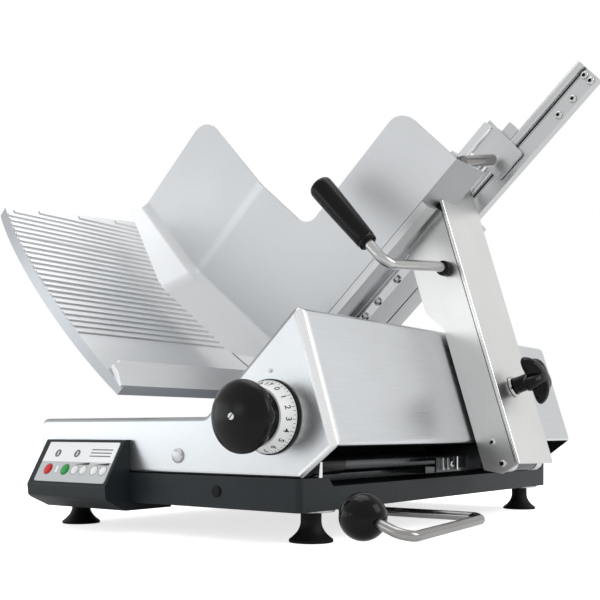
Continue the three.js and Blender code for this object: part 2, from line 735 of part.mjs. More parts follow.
function buildLiftLever() {
  const route = [
    vector(CAM_X - CAM_WIDTH, LEVER_Y, LEVER_Z),
    vector(128, LEVER_Y, LEVER_Z),
    vector(146, LEVER_Y - 26, LEVER_Z),
    vector(160, -50, LEVER_Z - 3),
    vector(122, -38, LEVER_Z + 7),
  ];
  const [camFrom, camTo] = [CAM_X - CAM_WIDTH / 2, CAM_X + CAM_WIDTH / 2];
  const cam = block(camFrom, camTo, LEVER_Y, LEVER_Y + CAM_REACH, LEVER_Z - 5, LEVER_Z + 5);
  const camEnd = xBar(5, camFrom, camTo, 20).translate(0, LEVER_Y + CAM_REACH, LEVER_Z);
  const camHub = xBar(LEVER_RADIUS + 1, camFrom, camTo, 20).translate(0, LEVER_Y, LEVER_Z);
  place("lift_rod", join(bentBar(route, LEVER_RADIUS, LEVER_BEND), cam, camEnd, camHub), polished);
  const ball = new THREE.SphereGeometry(BALL_RADIUS, 20, 12).translate(100, -32, 42);
  const stubEnd = vector(120.5, -37.5, LEVER_Z + 7.4);
  const socket = bentBar([route[3], route[4], stubEnd], LEVER_RADIUS + GAP, LEVER_BEND - 2);
  place("lift_ball", cut(ball, socket), blackPlastic);
  const [from, to] = [BEARING_X - BEARING_WIDTH / 2, BEARING_X + BEARING_WIDTH / 2];
  const top = PLINTH_BOTTOM + PLINTH_HOLLOW - GAP;
  const bearing = block(from, to, LEVER_Y - 13, LEVER_Y + 13, LEVER_Z - 10, top);
  const bore = xBar(LEVER_RADIUS + GAP, from - BEYOND, to + BEYOND).translate(0, LEVER_Y, LEVER_Z);
  place("lever_bearing", cut(bearing, bore), anodised);
}

// ---------- carriage ----------

function buildSlideBlock() {
  const rear = SLIDE_FRONT_Y + SLIDE_LENGTH;
  const trackTop = RECESS_FLOOR + GAP + TRACK_HEIGHT;
  const halfGroove = TRACK_WIDTH / 2 + GAP;
  const front = SLIDE_FRONT_Y;
  const [cutFrom, cutTo] = [front - BEYOND, rear + BEYOND];
  const body = block(SLIDE_LEFT_X, SLIDE_RIGHT_X, front, rear, SLIDE_BOTTOM, RECESS_CEILING - 4);
  const shoe = block(TRACK_X - 14, SLIDE_LEFT_X + BEYOND, front, rear, RECESS_FLOOR + 4, SLIDE_BOTTOM + 8);
  const groove = block(
    TRACK_X - halfGroove, TRACK_X + halfGroove, cutFrom, cutTo, RECESS_FLOOR, trackTop + GAP,
  );
  const lug = prismY(
    outline([
      [SLIDE_RIGHT_X - 2, PIVOT_Z - LUG_RADIUS],
      [PIVOT_X + LUG_RADIUS, PIVOT_Z - LUG_RADIUS, LUG_RADIUS],
      [PIVOT_X + LUG_RADIUS, PIVOT_Z + LUG_RADIUS, LUG_RADIUS],
      [SLIDE_RIGHT_X - 2, PIVOT_Z + LUG_RADIUS],
    ]),
    LUG_FRONT_Y,
    LUG_REAR_Y,
  );
  const guideBore = yBar(GUIDE_RADIUS + GAP, cutFrom, cutTo, 28).translate(GUIDE_X, 0, GUIDE_Z);
  const pivotBore = yBar(PIVOT_RADIUS + GAP, LUG_FRONT_Y - BEYOND, LUG_REAR_Y + BEYOND);
  pivotBore.translate(PIVOT_X, 0, PIVOT_Z);
  place("slide_block", cut(join(body, shoe, lug), groove, guideBore, pivotBore), anodised);
}

function buildCarriageArm() {
  const [left, right] = [POST_INNER_P + ARM_INSET, POST_OUTER_P - ARM_INSET];
  const core = prismY(
    outline([
      [left, ARM_FOOT],
      [right, ARM_FOOT],
      [right, postHeight(ARM_TOP_W, right)],
      [left, postHeight(ARM_TOP_W, left)],
    ]),
    ARM_FRONT_Y,
    ARM_REAR_Y,
  );
  const radius = LUG_RADIUS + 1;
  const cheek = outline([
    [PIVOT_P - radius, ARM_FOOT + 5],
    [PIVOT_P - radius, PIVOT_Q - radius, radius],
    [PIVOT_P + radius, PIVOT_Q - radius, radius],
    [PIVOT_P + radius, ARM_FOOT + 5],
  ]);
  const cheeks = [
    prismY(cheek, ARM_FRONT_Y, LUG_FRONT_Y - LUG_PLAY),
    prismY(cheek, LUG_REAR_Y + LUG_PLAY, ARM_REAR_Y),
  ];
  const pin = yBar(PIVOT_RADIUS, ARM_FRONT_Y + 2, ARM_REAR_Y - 2).translate(PIVOT_P, 0, PIVOT_Q);
  place("carriage_arm", join(core, ...cheeks, pin), anodised, post);
}

function buildPostCover() {
  const left = POST_OUTER_P - POST_TOP_WIDTH;
  const front = prismY(
    outline([
      [POST_INNER_P, POST_FOOT + 6],
      [POST_INNER_P + 22, POST_FOOT - 5],
      [POST_OUTER_P, POST_FOOT + 1],
      [POST_OUTER_P, postHeight(ARM_TOP_W, POST_OUTER_P)],
      [left, postHeight(ARM_TOP_W, left)],
      [left, SHOULDER_HIGH, 8],
      [POST_INNER_P, SHOULDER_LOW, 8],
    ]),
    POST_FRONT_Y,
    POST_FRONT_Y + SHEET,
  );
  const face = prismX(
    outline([
      [POST_FRONT_Y, POST_FOOT + 1],
      [POST_REAR_Y, POST_FOOT - 1],
      [POST_REAR_Y, POST_TIP_REAR],
      [POST_FRONT_Y, POST_TIP_FRONT],
    ]),
    POST_OUTER_P - SHEET,
    POST_OUTER_P,
  );
  const innerFoot = PIVOT_Q + 2 * LUG_RADIUS + 5;
  const inner = prismX(
    rectangle(POST_FRONT_Y, POST_REAR_Y - 4, innerFoot, SHOULDER_LOW),
    POST_INNER_P,
    POST_INNER_P + SHEET,
  );
  place("post_cover", join(front, face, inner), anodised, post);
}

// The tray is one folded sheet. Its section, square to the feed, is swept along u up to the fold of the
// blade-side flange and on a slant beyond it, and the sweep is then trimmed to the sheet's outline.
function buildTray() {
  const rear = RAIL_Y - GAP;
  const under = TRAY_BOTTOM_W - TRAY_SHEET;
  const section = outline([
    [WALL_Y, WALL_TOP_W + BEYOND],
    [WALL_Y, WALL_FOLD_W],
    [WALL_FOOT_Y, under],
    [rear, under],
    [rear, TRAY_BOTTOM_W],
    [WALL_FOOT_Y + TRAY_SHEET, TRAY_BOTTOM_W],
    [WALL_Y + TRAY_SHEET, WALL_FOLD_W],
    [WALL_Y + TRAY_SHEET, WALL_TOP_W + BEYOND],
  ]);
  const lap = 0.05; // of the slanted sweep into the straight one
  const slope = TRAY_FLANGE_SLOPE;
  const slant = new THREE.Matrix4().makeShear(slope, 0, 0, 0, 0, 0);
  slant.setPosition(0, -slope * TRAY_FOLD_U, 0);
  const straight = prismX(section, TRAY_FOLD_U, EAR_END_U + BEYOND);
  const flangeEnd = TRAY_FOLD_U - TRAY_FLANGE_WIDTH;
  const flange = prismX(section, flangeEnd - BEYOND, TRAY_FOLD_U + lap).applyMatrix4(slant);
  const floor = block(TRAY_FLOOR_U, TRAY_FOLD_U + BEYOND, WALL_FOOT_Y, rear, under, TRAY_BOTTOM_W);
  const trim = prismY(
    outline([
      [TRAY_FOLD_U, under - BEYOND],
      [EAR_END_U, under - BEYOND],
      [EAR_END_U, EAR_TOP_W, EAR_CORNER],
      [WING_END_U, EAR_TOP_W, NOTCH_CORNER],
      [WING_END_U, WALL_TOP_W, WALL_CORNER],
      [TRAY_FOLD_U - TRAY_FLANGE_TOP, WALL_TOP_W, 3],
      [flangeEnd, WALL_FOLD_W + 17, 60],
      [flangeEnd, TRAY_BOTTOM_W + 45, 22],
    ]),
    WALL_Y - 2 * TRAY_FLANGE_WIDTH,
    RAIL_Y,
  );
  const floorTop = TRAY_BOTTOM_W + BEYOND;
  const behindEar = block(
    TRAY_BOTTOM_END_U, EAR_END_U + 2, WALL_FOOT_Y + EAR_FLANGE, RAIL_Y, under - BEYOND, floorTop,
  );
  const sheet = join(common(join(straight, flange), trim), floor);
  place("tray_sheet", cut(sheet, behindEar), stainless, feed);

  const profileTop = under - GAP;
  const [from, to] = [TRAY_FLOOR_U + 2, TRAY_BOTTOM_END_U];
  const profile = block(from, to, WALL_FOOT_Y, RAIL_Y + RAIL_THICKNESS, TRAY_UNDER_W, profileTop);
  const channel = (front, back, depth) =>
    block(from - BEYOND, to + BEYOND, front, back, TRAY_UNDER_W - BEYOND, TRAY_UNDER_W + depth);
  place("tray_profile", cut(profile, channel(291, 312, 5), channel(396, 399, 3)), anodised, feed);
}

function buildRail() {
  const middle = RAIL_Y + RAIL_THICKNESS / 2;
  const back = RAIL_Y + RAIL_THICKNESS;
  const web = RAIL_WEB / 2;
  const section = outline([
    [RAIL_Y, RAIL_BOTTOM_W],
    [back, RAIL_BOTTOM_W],
    [back, RAIL_TOP_W, 2],
    [middle + web, RAIL_TOP_W],
    [middle + web, RAIL_ROD_W],
    [middle - web, RAIL_ROD_W],
    [middle - web, RAIL_TOP_W],
    [RAIL_Y, RAIL_TOP_W, 2],
  ]);
  const flat = prismX(section, RAIL_START_U, RAIL_END_U);
  const foot = block(
    RAIL_START_U, TRAY_BOTTOM_END_U, RAIL_Y, back, TRAY_BOTTOM_W - TRAY_SHEET, RAIL_BOTTOM_W + BEYOND,
  );
  const rod = xBar(RAIL_ROD_RADIUS, RAIL_START_U, RAIL_END_U, 24).translate(0, middle, RAIL_ROD_W);
  place("rail", join(flat, foot, rod), anodised, feed);
}

function buildHandle() {
  const bore = HANDLE_RADIUS + GAP;
  const bush = turnedTowardsFront(
    [[bore, GAP], [9.8, GAP], [9.8, 11], [8.8, 13], [bore, 13], [bore, GAP]],
    24,
  );
  place("handle_bush", bush.translate(HANDLE_X, POST_FRONT_Y, HANDLE_Z), blackPlastic);
  const corner = vector(
    HANDLE_CORNER_U * COS_FEED - HANDLE_CORNER_W * SIN_FEED,
    HANDLE_CORNER_Y,
    HANDLE_CORNER_U * SIN_FEED + HANDLE_CORNER_W * COS_FEED,
  );
  const rise = vector(-SIN_FEED, 0, COS_FEED).multiplyScalar(HANDLE_RISE);
  const route = [
    vector(HANDLE_X, POST_FRONT_Y - GAP, HANDLE_Z),
    vector(HANDLE_X, POST_FRONT_Y - HANDLE_STUB, HANDLE_Z),
    corner,
    corner.clone().add(rise),
  ];
  place("handle_rod", bentBar(route, HANDLE_RADIUS, HANDLE_BEND), polished);
  const [foot, top, end] = [GRIP_FOOT_RADIUS, GRIP_TOP_RADIUS, GRIP_LENGTH];
  const profile = [
    [0, 0],
    [foot - 2, 0],
    [foot - 1, 1],
    [foot - 1, 4],
    [foot, 5.5],
    [(foot + top) / 2, end * 0.55],
    [top, end * 0.88],
    [top - 0.2, end - 4],
    [top - 2, end - 0.6],
    [top - 5, end],
    [0, end],
  ];
  const start = HANDLE_CORNER_W + HANDLE_RISE + GAP;
  const grip = turnedAlongZ(profile, 24).translate(HANDLE_CORNER_U, HANDLE_CORNER_Y, start);
  place("handle_grip", grip, blackPlastic, feed);
}

function buildClampKnob() {
  const onPost = (geometry) => geometry.translate(0, KNOB_Y, KNOB_Q);
  const seat = POST_OUTER_P + GAP;
  const washerTop = seat + 3.5;
  const rim = KNOB_WASHER_RADIUS;
  const washer = turnedAlongX(
    [[0, seat], [rim, seat], [rim, seat + 2], [rim - 1.5, washerTop], [0, washerTop]],
    24,
  );
  place("clamp_washer", onPost(washer), polished, post);
  const hub = washerTop + GAP;
  const top = POST_OUTER_P + KNOB_REACH;
  const radius = KNOB_HUB_RADIUS;
  const span = KNOB_SPAN;
  const profile = [
    [0, hub],
    [radius, hub],
    [radius - 0.6, hub + 8],
    [radius + 0.6, top - 20],
    [radius + 4, top - 14],
    [span * 0.7, top - 13.5],
    [span * 0.94, top - 19],
    [span, top - 18],
    [span, top - 14],
    [span * 0.8, top - 6],
    [span * 0.45, top - 1.5],
    [0, top],
  ];
  const head = turnedAlongX(profile, 30);
  const gaps = [];
  for (let i = 0; i < KNOB_LOBES; i++) {
    const angle = ((i + 0.5) / KNOB_LOBES) * 2 * Math.PI;
    const gap = xBar(span * 0.36, top - 22, top + BEYOND, 14);
    gaps.push(gap.translate(0, span * 1.08 * Math.cos(angle), span * 1.08 * Math.sin(angle)));
  }
  place("clamp_knob", onPost(cut(head, ...gaps)), blackPlastic, post);
}

// ---------- remnant holder on the rail ----------

const onHolderPivot = (geometry) => geometry.translate(0, SLIDER_Y, HOLDER_PIVOT_W);

function buildRemnantSlider() {
  const start = SLIDER_START_U + HOLDER_HUB_LENGTH + 1;
  const [front, back] = [RAIL_Y - 2 - SLIDER_SHEET, RAIL_Y - 2];
  const low = RAIL_TOP_W + 2.5;
  const end = SLIDER_END_U;
  const body = block(start, end, back - BEYOND, RAIL_Y + RAIL_THICKNESS + 5, low, HOLDER_PIVOT_W + 8);
  const bore = xBar(RAIL_ROD_RADIUS + GAP, start - BEYOND, end + 20).translate(0, SLIDER_Y, RAIL_ROD_W);
  const half = RAIL_WEB / 2 + 1.5; // of the mouth over the rail's web
  const mouth = block(
    start - BEYOND, end + BEYOND, SLIDER_Y - half, SLIDER_Y + half, RAIL_TOP_W, RAIL_ROD_W,
  );
  const plate = prismY(
    outline([
      [start, SLIDER_LOW_W, 4],
      [end, SLIDER_LOW_W, 4],
      [end, SLIDER_TOP_W],
      [start, SLIDER_TOP_W],
    ]),
    front,
    back,
  );
  const [lipLow, lipTop, lipBack] = [SLIDER_TOP_W - BEYOND, SLIDER_TOP_W + 11, 3];
  const lip = prismX(
    outline([[front, lipLow], [back, lipLow], [back + lipBack, lipTop], [front + lipBack, lipTop]]),
    start,
    end,
  );
  const heel = block(end - BEYOND, end + 16, RAIL_Y + 1, SLIDER_Y + 6, RAIL_ROD_W, HOLDER_PIVOT_W + 2);
  const pin = onHolderPivot(xBar(HOLDER_PIVOT_RADIUS, SLIDER_START_U - 2, start + BEYOND, 24));
  const head = onHolderPivot(xBar(HOLDER_PIVOT_RADIUS + 3, SLIDER_START_U - 5, SLIDER_START_U - 1, 24));
  place("remnant_slider", join(cut(join(body, heel), bore, mouth), plate, lip, pin, head), anodised, feed);
}

function buildRemnantHolder() {
  const [from, to] = [SLIDER_START_U, SLIDER_START_U + HOLDER_HUB_LENGTH];
  const middle = (from + to) / 2;
  const hub = onHolderPivot(xBar(HOLDER_HUB_RADIUS, from, to, 28));
  const bore = onHolderPivot(xBar(HOLDER_PIVOT_RADIUS + GAP, from - BEYOND, to + BEYOND, 24));
  const arm = bentBar(
    [vector(middle, SLIDER_Y - 4, HOLDER_PIVOT_W - 1), vector(middle, HOLDER_BAR_Y, HOLDER_BAR_W)],
    HOLDER_BAR_RADIUS,
    0,
  );
  const stay = block(
    PUSHER_U + GAP, to, HOLDER_BAR_Y - 8, HOLDER_BAR_Y + 8, HOLDER_BAR_W - 6, HOLDER_BAR_W + 6,
  );
  place("remnant_arm", cut(join(hub, arm, stay), bore), anodised, feed);
  const low = TRAY_BOTTOM_W + 2.5;
  const plateStart = PUSHER_U - PUSHER_THICKNESS;
  const pusher = prismX(
    rectangle(PUSHER_Y, PUSHER_Y + PUSHER_WIDTH, low, low + PUSHER_HEIGHT, 8),
    plateStart,
    PUSHER_U,
  );
  const spikes = [];
  for (let i = 0; i < 4; i++) {
    for (let k = 0; k < 3; k++) {
      const spike = turnedAlongX([[0, -SPIKE_LENGTH], [SPIKE_RADIUS, 1], [0, 1]], 6);
      const y = PUSHER_Y + PUSHER_WIDTH * (0.17 + 0.22 * i);
      spikes.push(spike.translate(plateStart, y, low + PUSHER_HEIGHT * (0.2 + 0.3 * k)));
    }
  }
  place("remnant_pusher", join(pusher, ...spikes), anodised, feed);
}

// ---------- gauge plate ----------

// The plate's outline: a swelling front edge, and a top that rises towards the rear.
function gaugeShape(inset) {
  const front = GAUGE_FRONT_Y + inset;
  const topFront = GAUGE_FRONT_Y - 10 + inset;
  const top = (y) => GAUGE_TOP_W + (y - topFront) * GAUGE_TOP_SLOPE - inset;
  const height = GAUGE_TOP_W - GAUGE_BOTTOM_W;
  const shape = new THREE.Shape();
  shape.moveTo(front, GAUGE_BOTTOM_W);
  shape.lineTo(GAUGE_REAR_Y, GAUGE_BOTTOM_W);
  shape.lineTo(GAUGE_REAR_Y, top(GAUGE_REAR_Y));
  shape.lineTo(topFront + 4, top(topFront));
  shape.lineTo(topFront, top(topFront) - 4);
  shape.bezierCurveTo(
    front - GAUGE_BELLY, GAUGE_BOTTOM_W + 0.71 * height,
    front - 0.92 * GAUGE_BELLY, GAUGE_BOTTOM_W + 0.28 * height,
    front, GAUGE_BOTTOM_W,
  );
  return shape;
}

const knifeOpening = (radius, from, to) => xBar(radius, from, to, 60).translate(0, KNIFE_Y, KNIFE_W);

function buildGaugePlate() {
  const back = GAUGE_U - GAUGE_THICKNESS;
  const ledgeTip = GAUGE_U + LEDGE_DEPTH;
  const plate = prismX(gaugeShape(0), back, GAUGE_U, { curveSegments: 14 });
  const root = GAUGE_U - 1; // inside the plate
  const wedge = prismY(
    outline([[root, GAUGE_BOTTOM_W], [GAUGE_U + 1.5, GAUGE_BOTTOM_W], [ledgeTip, LEDGE_W], [root, LEDGE_W]]),
    GAUGE_FRONT_Y - 6,
    GAUGE_REAR_Y,
  );
  const corner = LEDGE_CORNER;
  const ledgeEnd = prismZ(
    rectangle(root - corner - BEYOND, ledgeTip, GAUGE_FRONT_Y - 5, GAUGE_REAR_Y + corner, corner),
    GAUGE_BOTTOM_W - BEYOND,
    LEDGE_W + BEYOND,
  );
  const opening = knifeOpening(KNIFE_RADIUS + KNIFE_SLOT, back - BEYOND, ledgeTip + BEYOND);
  const inside = prismX(gaugeShape(0.5), root, GAUGE_U + RIB_HEIGHT, { curveSegments: 14 });
  const comb = [];
  for (let i = 0; i < RIB_COUNT; i++) {
    const w = RIB_START_W + i * RIB_PITCH;
    const crest = GAUGE_U + RIB_HEIGHT;
    const section = outline([
      [root, w - RIB_BASE / 2],
      [crest, w - RIB_CREST / 2],
      [crest, w + RIB_CREST / 2],
      [root, w + RIB_BASE / 2],
    ]);
    comb.push(prismY(section, GAUGE_FRONT_Y - GAUGE_BELLY - 10, GAUGE_REAR_Y));
  }
  const ribRoom = knifeOpening(KNIFE_RADIUS + KNIFE_SLOT + 6, back, GAUGE_U + RIB_HEIGHT + BEYOND);
  const ribs = cut(common(join(...comb), inside), ribRoom);
  const plain = cut(join(plate, common(wedge, ledgeEnd)), opening);
  place("gauge_plate", join(plain, ribs), stainless, feed);
}

function buildGaugeGuide() {
  const front = GAUGE_GUIDE_FRONT;
  const rear = front + GAUGE_GUIDE_DEPTH;
  const middle = (front + rear) / 2;
  const half = GAUGE_KEEL_DEPTH / 2;
  const [guideStart, guideEnd] = [4, 72];
  const keelLow = SLOPE_W + 52;
  const low = GAUGE_GUIDE_TOP + GAP;
  const top = GAUGE_BOTTOM_W - GAP;
  const underTray = TRAY_UNDER_W - 2.5;
  const back = GAUGE_U - GAUGE_THICKNESS;
  const tongue = prismY(
    outline([
      [back, low + 8],
      [back + 16, low],
      [guideEnd - 5, low],
      [guideEnd - 5, underTray],
      [GAUGE_U + 8, underTray],
      [GAUGE_U, top],
      [back, top],
    ]),
    front,
    rear,
  );
  const keel = block(26, guideEnd - 7, middle - half, middle + half, keelLow, low + BEYOND);
  place("gauge_carrier", join(tongue, keel), anodised, feed);
  const guide = block(guideStart, guideEnd, front, rear, SLOPE_W + GAP, GAUGE_GUIDE_TOP);
  const slotHalf = half + GAP;
  const slot = block(
    guideStart - BEYOND, guideEnd + BEYOND,
    middle - slotHalf, middle + slotHalf,
    keelLow - BEYOND, GAUGE_GUIDE_TOP + BEYOND,
  );
  place("gauge_guide", cut(guide, slot), anthracite, feed);
}

// ---------- knife ----------

const onKnifeAxis = (geometry) => geometry.translate(0, KNIFE_Y, KNIFE_W);

function buildKnife() {
  const [radius, spindle, bore] = [KNIFE_RADIUS, SPINDLE_RADIUS, SPINDLE_RADIUS + GAP];
  const flangeEnd = KNIFE_U - GAP;
  const flangeStart = DRUM_FRONT_U + GAP;
  const flange = SPINDLE_RADIUS + 14;
  const collar = turnedAlongX(
    [
      [0, flangeStart],
      [flange, flangeStart],
      [flange, flangeEnd],
      [spindle, flangeEnd],
      [spindle, GAUGE_U],
      [0, GAUGE_U],
    ],
    24,
  );
  place("knife_spindle", onKnifeAxis(collar), anthracite, feed);
  const blade = turnedAlongX(
    [
      [bore, KNIFE_U],
      [radius - 7, KNIFE_U],
      [radius, GAUGE_U - 0.6],
      [radius, GAUGE_U - 0.2],
      [radius - KNIFE_BEVEL, GAUGE_U],
      [bore, GAUGE_U],
      [bore, KNIFE_U],
    ],
    48,
  );
  place("knife", onKnifeAxis(blade), polished, feed);
  const rim = KNIFE_RADIUS - COVER_MARGIN;
  const face = GAUGE_U + GAP;
  const crown = face + 3.2;
  const cover = turnedAlongX(
    [[0, face], [rim, face], [rim - 2, face + 2.1], [rim * 0.34, crown], [0, crown]],
    40,
  );
  place("knife_cover", onKnifeAxis(cover), stainless, feed);
}

function buildKnifeHousing() {
  const [back, front] = [DRUM_BACK_U, DRUM_FRONT_U];
  const radius = KNIFE_RADIUS - DRUM_INSET;
  const drum = turnedAlongX(
    [[0, back], [radius - 30, back], [radius - 8, back + 14], [radius, front], [0, front]],
    40,
  );
  const deckW = (u) => (DECK_TOP + GAP - u * SIN_FEED) / COS_FEED;
  const leg = prismY(
    outline([[back, KNIFE_W], [back, deckW(back)], [front, deckW(front)], [front, KNIFE_W]]),
    DRUM_LEG_FRONT,
    DRUM_LEG_REAR,
  );
  place("knife_housing", join(onKnifeAxis(drum), leg), stainless, feed);

  const inner = KNIFE_RADIUS + GUARD_GAP;
  const guard = new THREE.Shape();
  guard.absarc(KNIFE_Y, KNIFE_W, inner + GUARD_WIDTH, -GUARD_REACH, GUARD_REACH, false);
  guard.absarc(KNIFE_Y, KNIFE_W, inner, GUARD_REACH, -GUARD_REACH, true);
  place("knife_guard", prismX(guard, front + GAP, GAUGE_U + 1, { curveSegments: 20 }), stainless, feed);

  const sheet = 2;
  const face = back - GAP;
  const lean = 27.7; // how far its foot stands off the drum
  const deflector = outline([
    [face, 560],
    [face, 400],
    [face - lean, 350],
    [face - lean - sheet, 350],
    [face - sheet, 401],
    [face - sheet, 560],
  ]);
  place("slice_deflector", prismY(deflector, DRUM_LEG_FRONT - 15, DRUM_LEG_REAR), stainless, feed);
  const [low, top] = [DECK_TOP + GAP, DECK_TOP + GAP + 5.5];
  const left = -PLINTH_WIDTH + 8;
  const tray = prismZ(rectangle(left, left + 124, 320, HOUSING_REAR_Y - 20, 12), low, top);
  const inside = rectangle(left + 3, left + 121, 323, HOUSING_REAR_Y - 23, 9);
  const hollow = prismZ(inside, low + sheet, top + BEYOND);
  place("slice_tray", cut(tray, hollow), stainless);
}

// ---------- whole machine ----------

buildPlinth();
buildFeet();
buildHousing();
buildGuide();
buildPanel();
buildDial();
buildLiftLever();
buildSlideBlock();
buildCarriageArm();
buildPostCover();
buildTray();
buildRail();
buildHandle();
buildClampKnob();
buildRemnantSlider();
buildRemnantHolder();
buildGaugePlate();
buildGaugeGuide();
buildKnife();
buildKnifeHousing();

const part = new THREE.Group();
part.add(machine);
const bounds = new THREE.Box3().setFromObject(machine, true);
const middle = bounds.getCenter(vector(0, 0, 0));
machine.position.set(-middle.x, -middle.y, -bounds.min.z);

export default part;
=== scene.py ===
"""Looks of an inclined deli meat slicer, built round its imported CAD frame.

The frame and the lamps are in metres. The pieces are in millimetres of the machine's own three systems:
MACHINE from the plinth's front right corner, FEED along the inclined tray (u up the tray, y away from the
operator, w square to it) and POST along the leaning side panel (p out from it, y away, q up it).
"""

import bpy
import bmesh
import json
import math
from mathutils import Matrix, Vector
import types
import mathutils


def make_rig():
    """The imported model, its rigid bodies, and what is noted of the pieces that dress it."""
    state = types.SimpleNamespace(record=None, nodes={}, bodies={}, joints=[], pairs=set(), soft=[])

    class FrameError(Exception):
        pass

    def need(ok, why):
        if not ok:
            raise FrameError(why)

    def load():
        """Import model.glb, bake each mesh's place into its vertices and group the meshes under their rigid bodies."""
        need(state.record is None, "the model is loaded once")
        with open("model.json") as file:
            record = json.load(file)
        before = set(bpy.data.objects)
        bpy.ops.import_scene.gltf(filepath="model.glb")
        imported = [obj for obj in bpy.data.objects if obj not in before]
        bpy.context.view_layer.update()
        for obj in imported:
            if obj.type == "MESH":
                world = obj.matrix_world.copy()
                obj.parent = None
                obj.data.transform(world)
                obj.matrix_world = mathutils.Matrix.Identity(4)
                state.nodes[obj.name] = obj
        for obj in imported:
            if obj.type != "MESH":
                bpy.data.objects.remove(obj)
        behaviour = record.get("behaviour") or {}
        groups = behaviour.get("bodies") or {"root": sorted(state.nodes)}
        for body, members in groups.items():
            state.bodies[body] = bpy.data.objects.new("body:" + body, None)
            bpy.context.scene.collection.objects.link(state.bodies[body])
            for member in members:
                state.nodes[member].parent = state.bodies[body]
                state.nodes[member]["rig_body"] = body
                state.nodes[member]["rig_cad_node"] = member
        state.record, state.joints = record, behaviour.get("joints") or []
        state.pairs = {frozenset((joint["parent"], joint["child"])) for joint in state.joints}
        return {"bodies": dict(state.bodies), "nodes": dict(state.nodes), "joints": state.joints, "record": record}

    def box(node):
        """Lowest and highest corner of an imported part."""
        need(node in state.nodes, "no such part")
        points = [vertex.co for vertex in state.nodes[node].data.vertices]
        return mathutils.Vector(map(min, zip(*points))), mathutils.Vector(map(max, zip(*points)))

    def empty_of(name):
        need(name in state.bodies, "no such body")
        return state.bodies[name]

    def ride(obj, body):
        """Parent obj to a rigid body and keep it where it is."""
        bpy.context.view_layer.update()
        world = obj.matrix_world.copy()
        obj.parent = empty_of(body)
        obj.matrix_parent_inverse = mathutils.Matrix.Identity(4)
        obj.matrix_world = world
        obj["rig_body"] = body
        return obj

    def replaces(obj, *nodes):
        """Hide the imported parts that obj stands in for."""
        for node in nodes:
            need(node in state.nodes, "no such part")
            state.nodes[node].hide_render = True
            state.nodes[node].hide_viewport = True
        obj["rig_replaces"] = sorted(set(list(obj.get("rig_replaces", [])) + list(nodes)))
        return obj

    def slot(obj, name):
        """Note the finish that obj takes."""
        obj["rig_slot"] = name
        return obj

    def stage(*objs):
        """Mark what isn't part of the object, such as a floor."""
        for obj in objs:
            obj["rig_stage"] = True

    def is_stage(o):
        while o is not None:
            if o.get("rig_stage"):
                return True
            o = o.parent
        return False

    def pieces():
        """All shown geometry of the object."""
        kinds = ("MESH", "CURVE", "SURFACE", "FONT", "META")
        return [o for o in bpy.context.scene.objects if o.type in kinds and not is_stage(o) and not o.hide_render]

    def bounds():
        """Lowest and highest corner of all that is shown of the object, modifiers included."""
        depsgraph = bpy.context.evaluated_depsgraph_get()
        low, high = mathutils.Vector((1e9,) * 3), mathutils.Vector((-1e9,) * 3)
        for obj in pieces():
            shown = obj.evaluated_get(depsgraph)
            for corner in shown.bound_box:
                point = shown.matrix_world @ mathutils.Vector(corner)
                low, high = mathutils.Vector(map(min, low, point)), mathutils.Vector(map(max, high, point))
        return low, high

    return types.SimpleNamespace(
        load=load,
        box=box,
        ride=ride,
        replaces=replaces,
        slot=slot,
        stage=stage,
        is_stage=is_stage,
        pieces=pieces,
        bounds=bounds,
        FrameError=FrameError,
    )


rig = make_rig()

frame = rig.load()
with open("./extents.json", "w") as size_file:
    json.dump({"cad": [list(corner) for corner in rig.bounds()]}, size_file)

# ---------- places ----------

MM = 0.001
FEED_ANGLE = math.radians(42)
LEAN_ANGLE = math.radians(17.5)
PLINTH_LOW, PLINTH_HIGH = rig.box("plinth")
MACHINE = Matrix.Translation((PLINTH_HIGH.x, PLINTH_LOW.y, 0)) @ Matrix.Scale(MM, 4)
FEED = MACHINE @ Matrix.Rotation(-FEED_ANGLE, 4, "Y")
POST = MACHINE @ Matrix.Rotation(-LEAN_ANGLE, 4, "Y")
PANEL_NOSE = (0, -40, 57)
PANEL_TOP = (0, -8, 113)
PANEL_TILT = math.atan2(PANEL_TOP[2] - PANEL_NOSE[2], PANEL_TOP[1] - PANEL_NOSE[1])
PANEL = MACHINE @ Matrix.Translation(PANEL_NOSE) @ Matrix.Rotation(PANEL_TILT, 4, "X")
# Turns that carry a piece's own +Z to another direction.
TO_FRONT = Matrix.Rotation(math.radians(90), 4, "X")
TO_BACK = Matrix.Rotation(math.radians(-90), 4, "X")
TO_RIGHT = Matrix.Rotation(math.radians(90), 4, "Y")
DOWN = Matrix.Rotation(math.radians(180), 4, "X")
# Carries an outline drawn in Y and Z, and its heights, to the machine's Y, Z and X.
SIDE_ON = Matrix(((0, 0, 1, 0), (1, 0, 0, 0), (0, 1, 0, 0), (0, 0, 0, 1)))

# Places that several pieces share.
DIAL_X, DIAL_Z = -40, 139
POST_FRONT_Y = 306
POST_FACE_P = 129.2  # outer face of its right sheet
PIVOT_P, PIVOT_Q = 108, 53
TRAY_FOLD_U = -19.5
TRAY_FOLD_W = 489
TRAY_LOW_W = 330  # what lies below this belongs to the tray's floor
HANDLE_U, HANDLE_Y, GRIP_W = 220.7, 157, 269


def at(system, x, y, z):
    return system @ Matrix.Translation((x, y, z))


def in_system(system, point):
    """A world point as millimetres of one of the three systems."""
    return system.inverted() @ point


# ---------- camera ----------


def build_camera():
    data = bpy.data.cameras.new("camera")
    data.lens = 56.04
    data.sensor_width = 36
    data.shift_y = 0.2167
    data.clip_start, data.clip_end = 0.05, 30
    camera = bpy.data.objects.new("camera", data)
    bpy.context.scene.collection.objects.link(camera)
    camera.location = MACHINE @ Vector((592.5, -780.6, 125))
    camera.rotation_euler = (math.radians(90), 0, math.radians(37.2))
    bpy.context.scene.camera = camera


build_camera()

# ---------- material nodes ----------


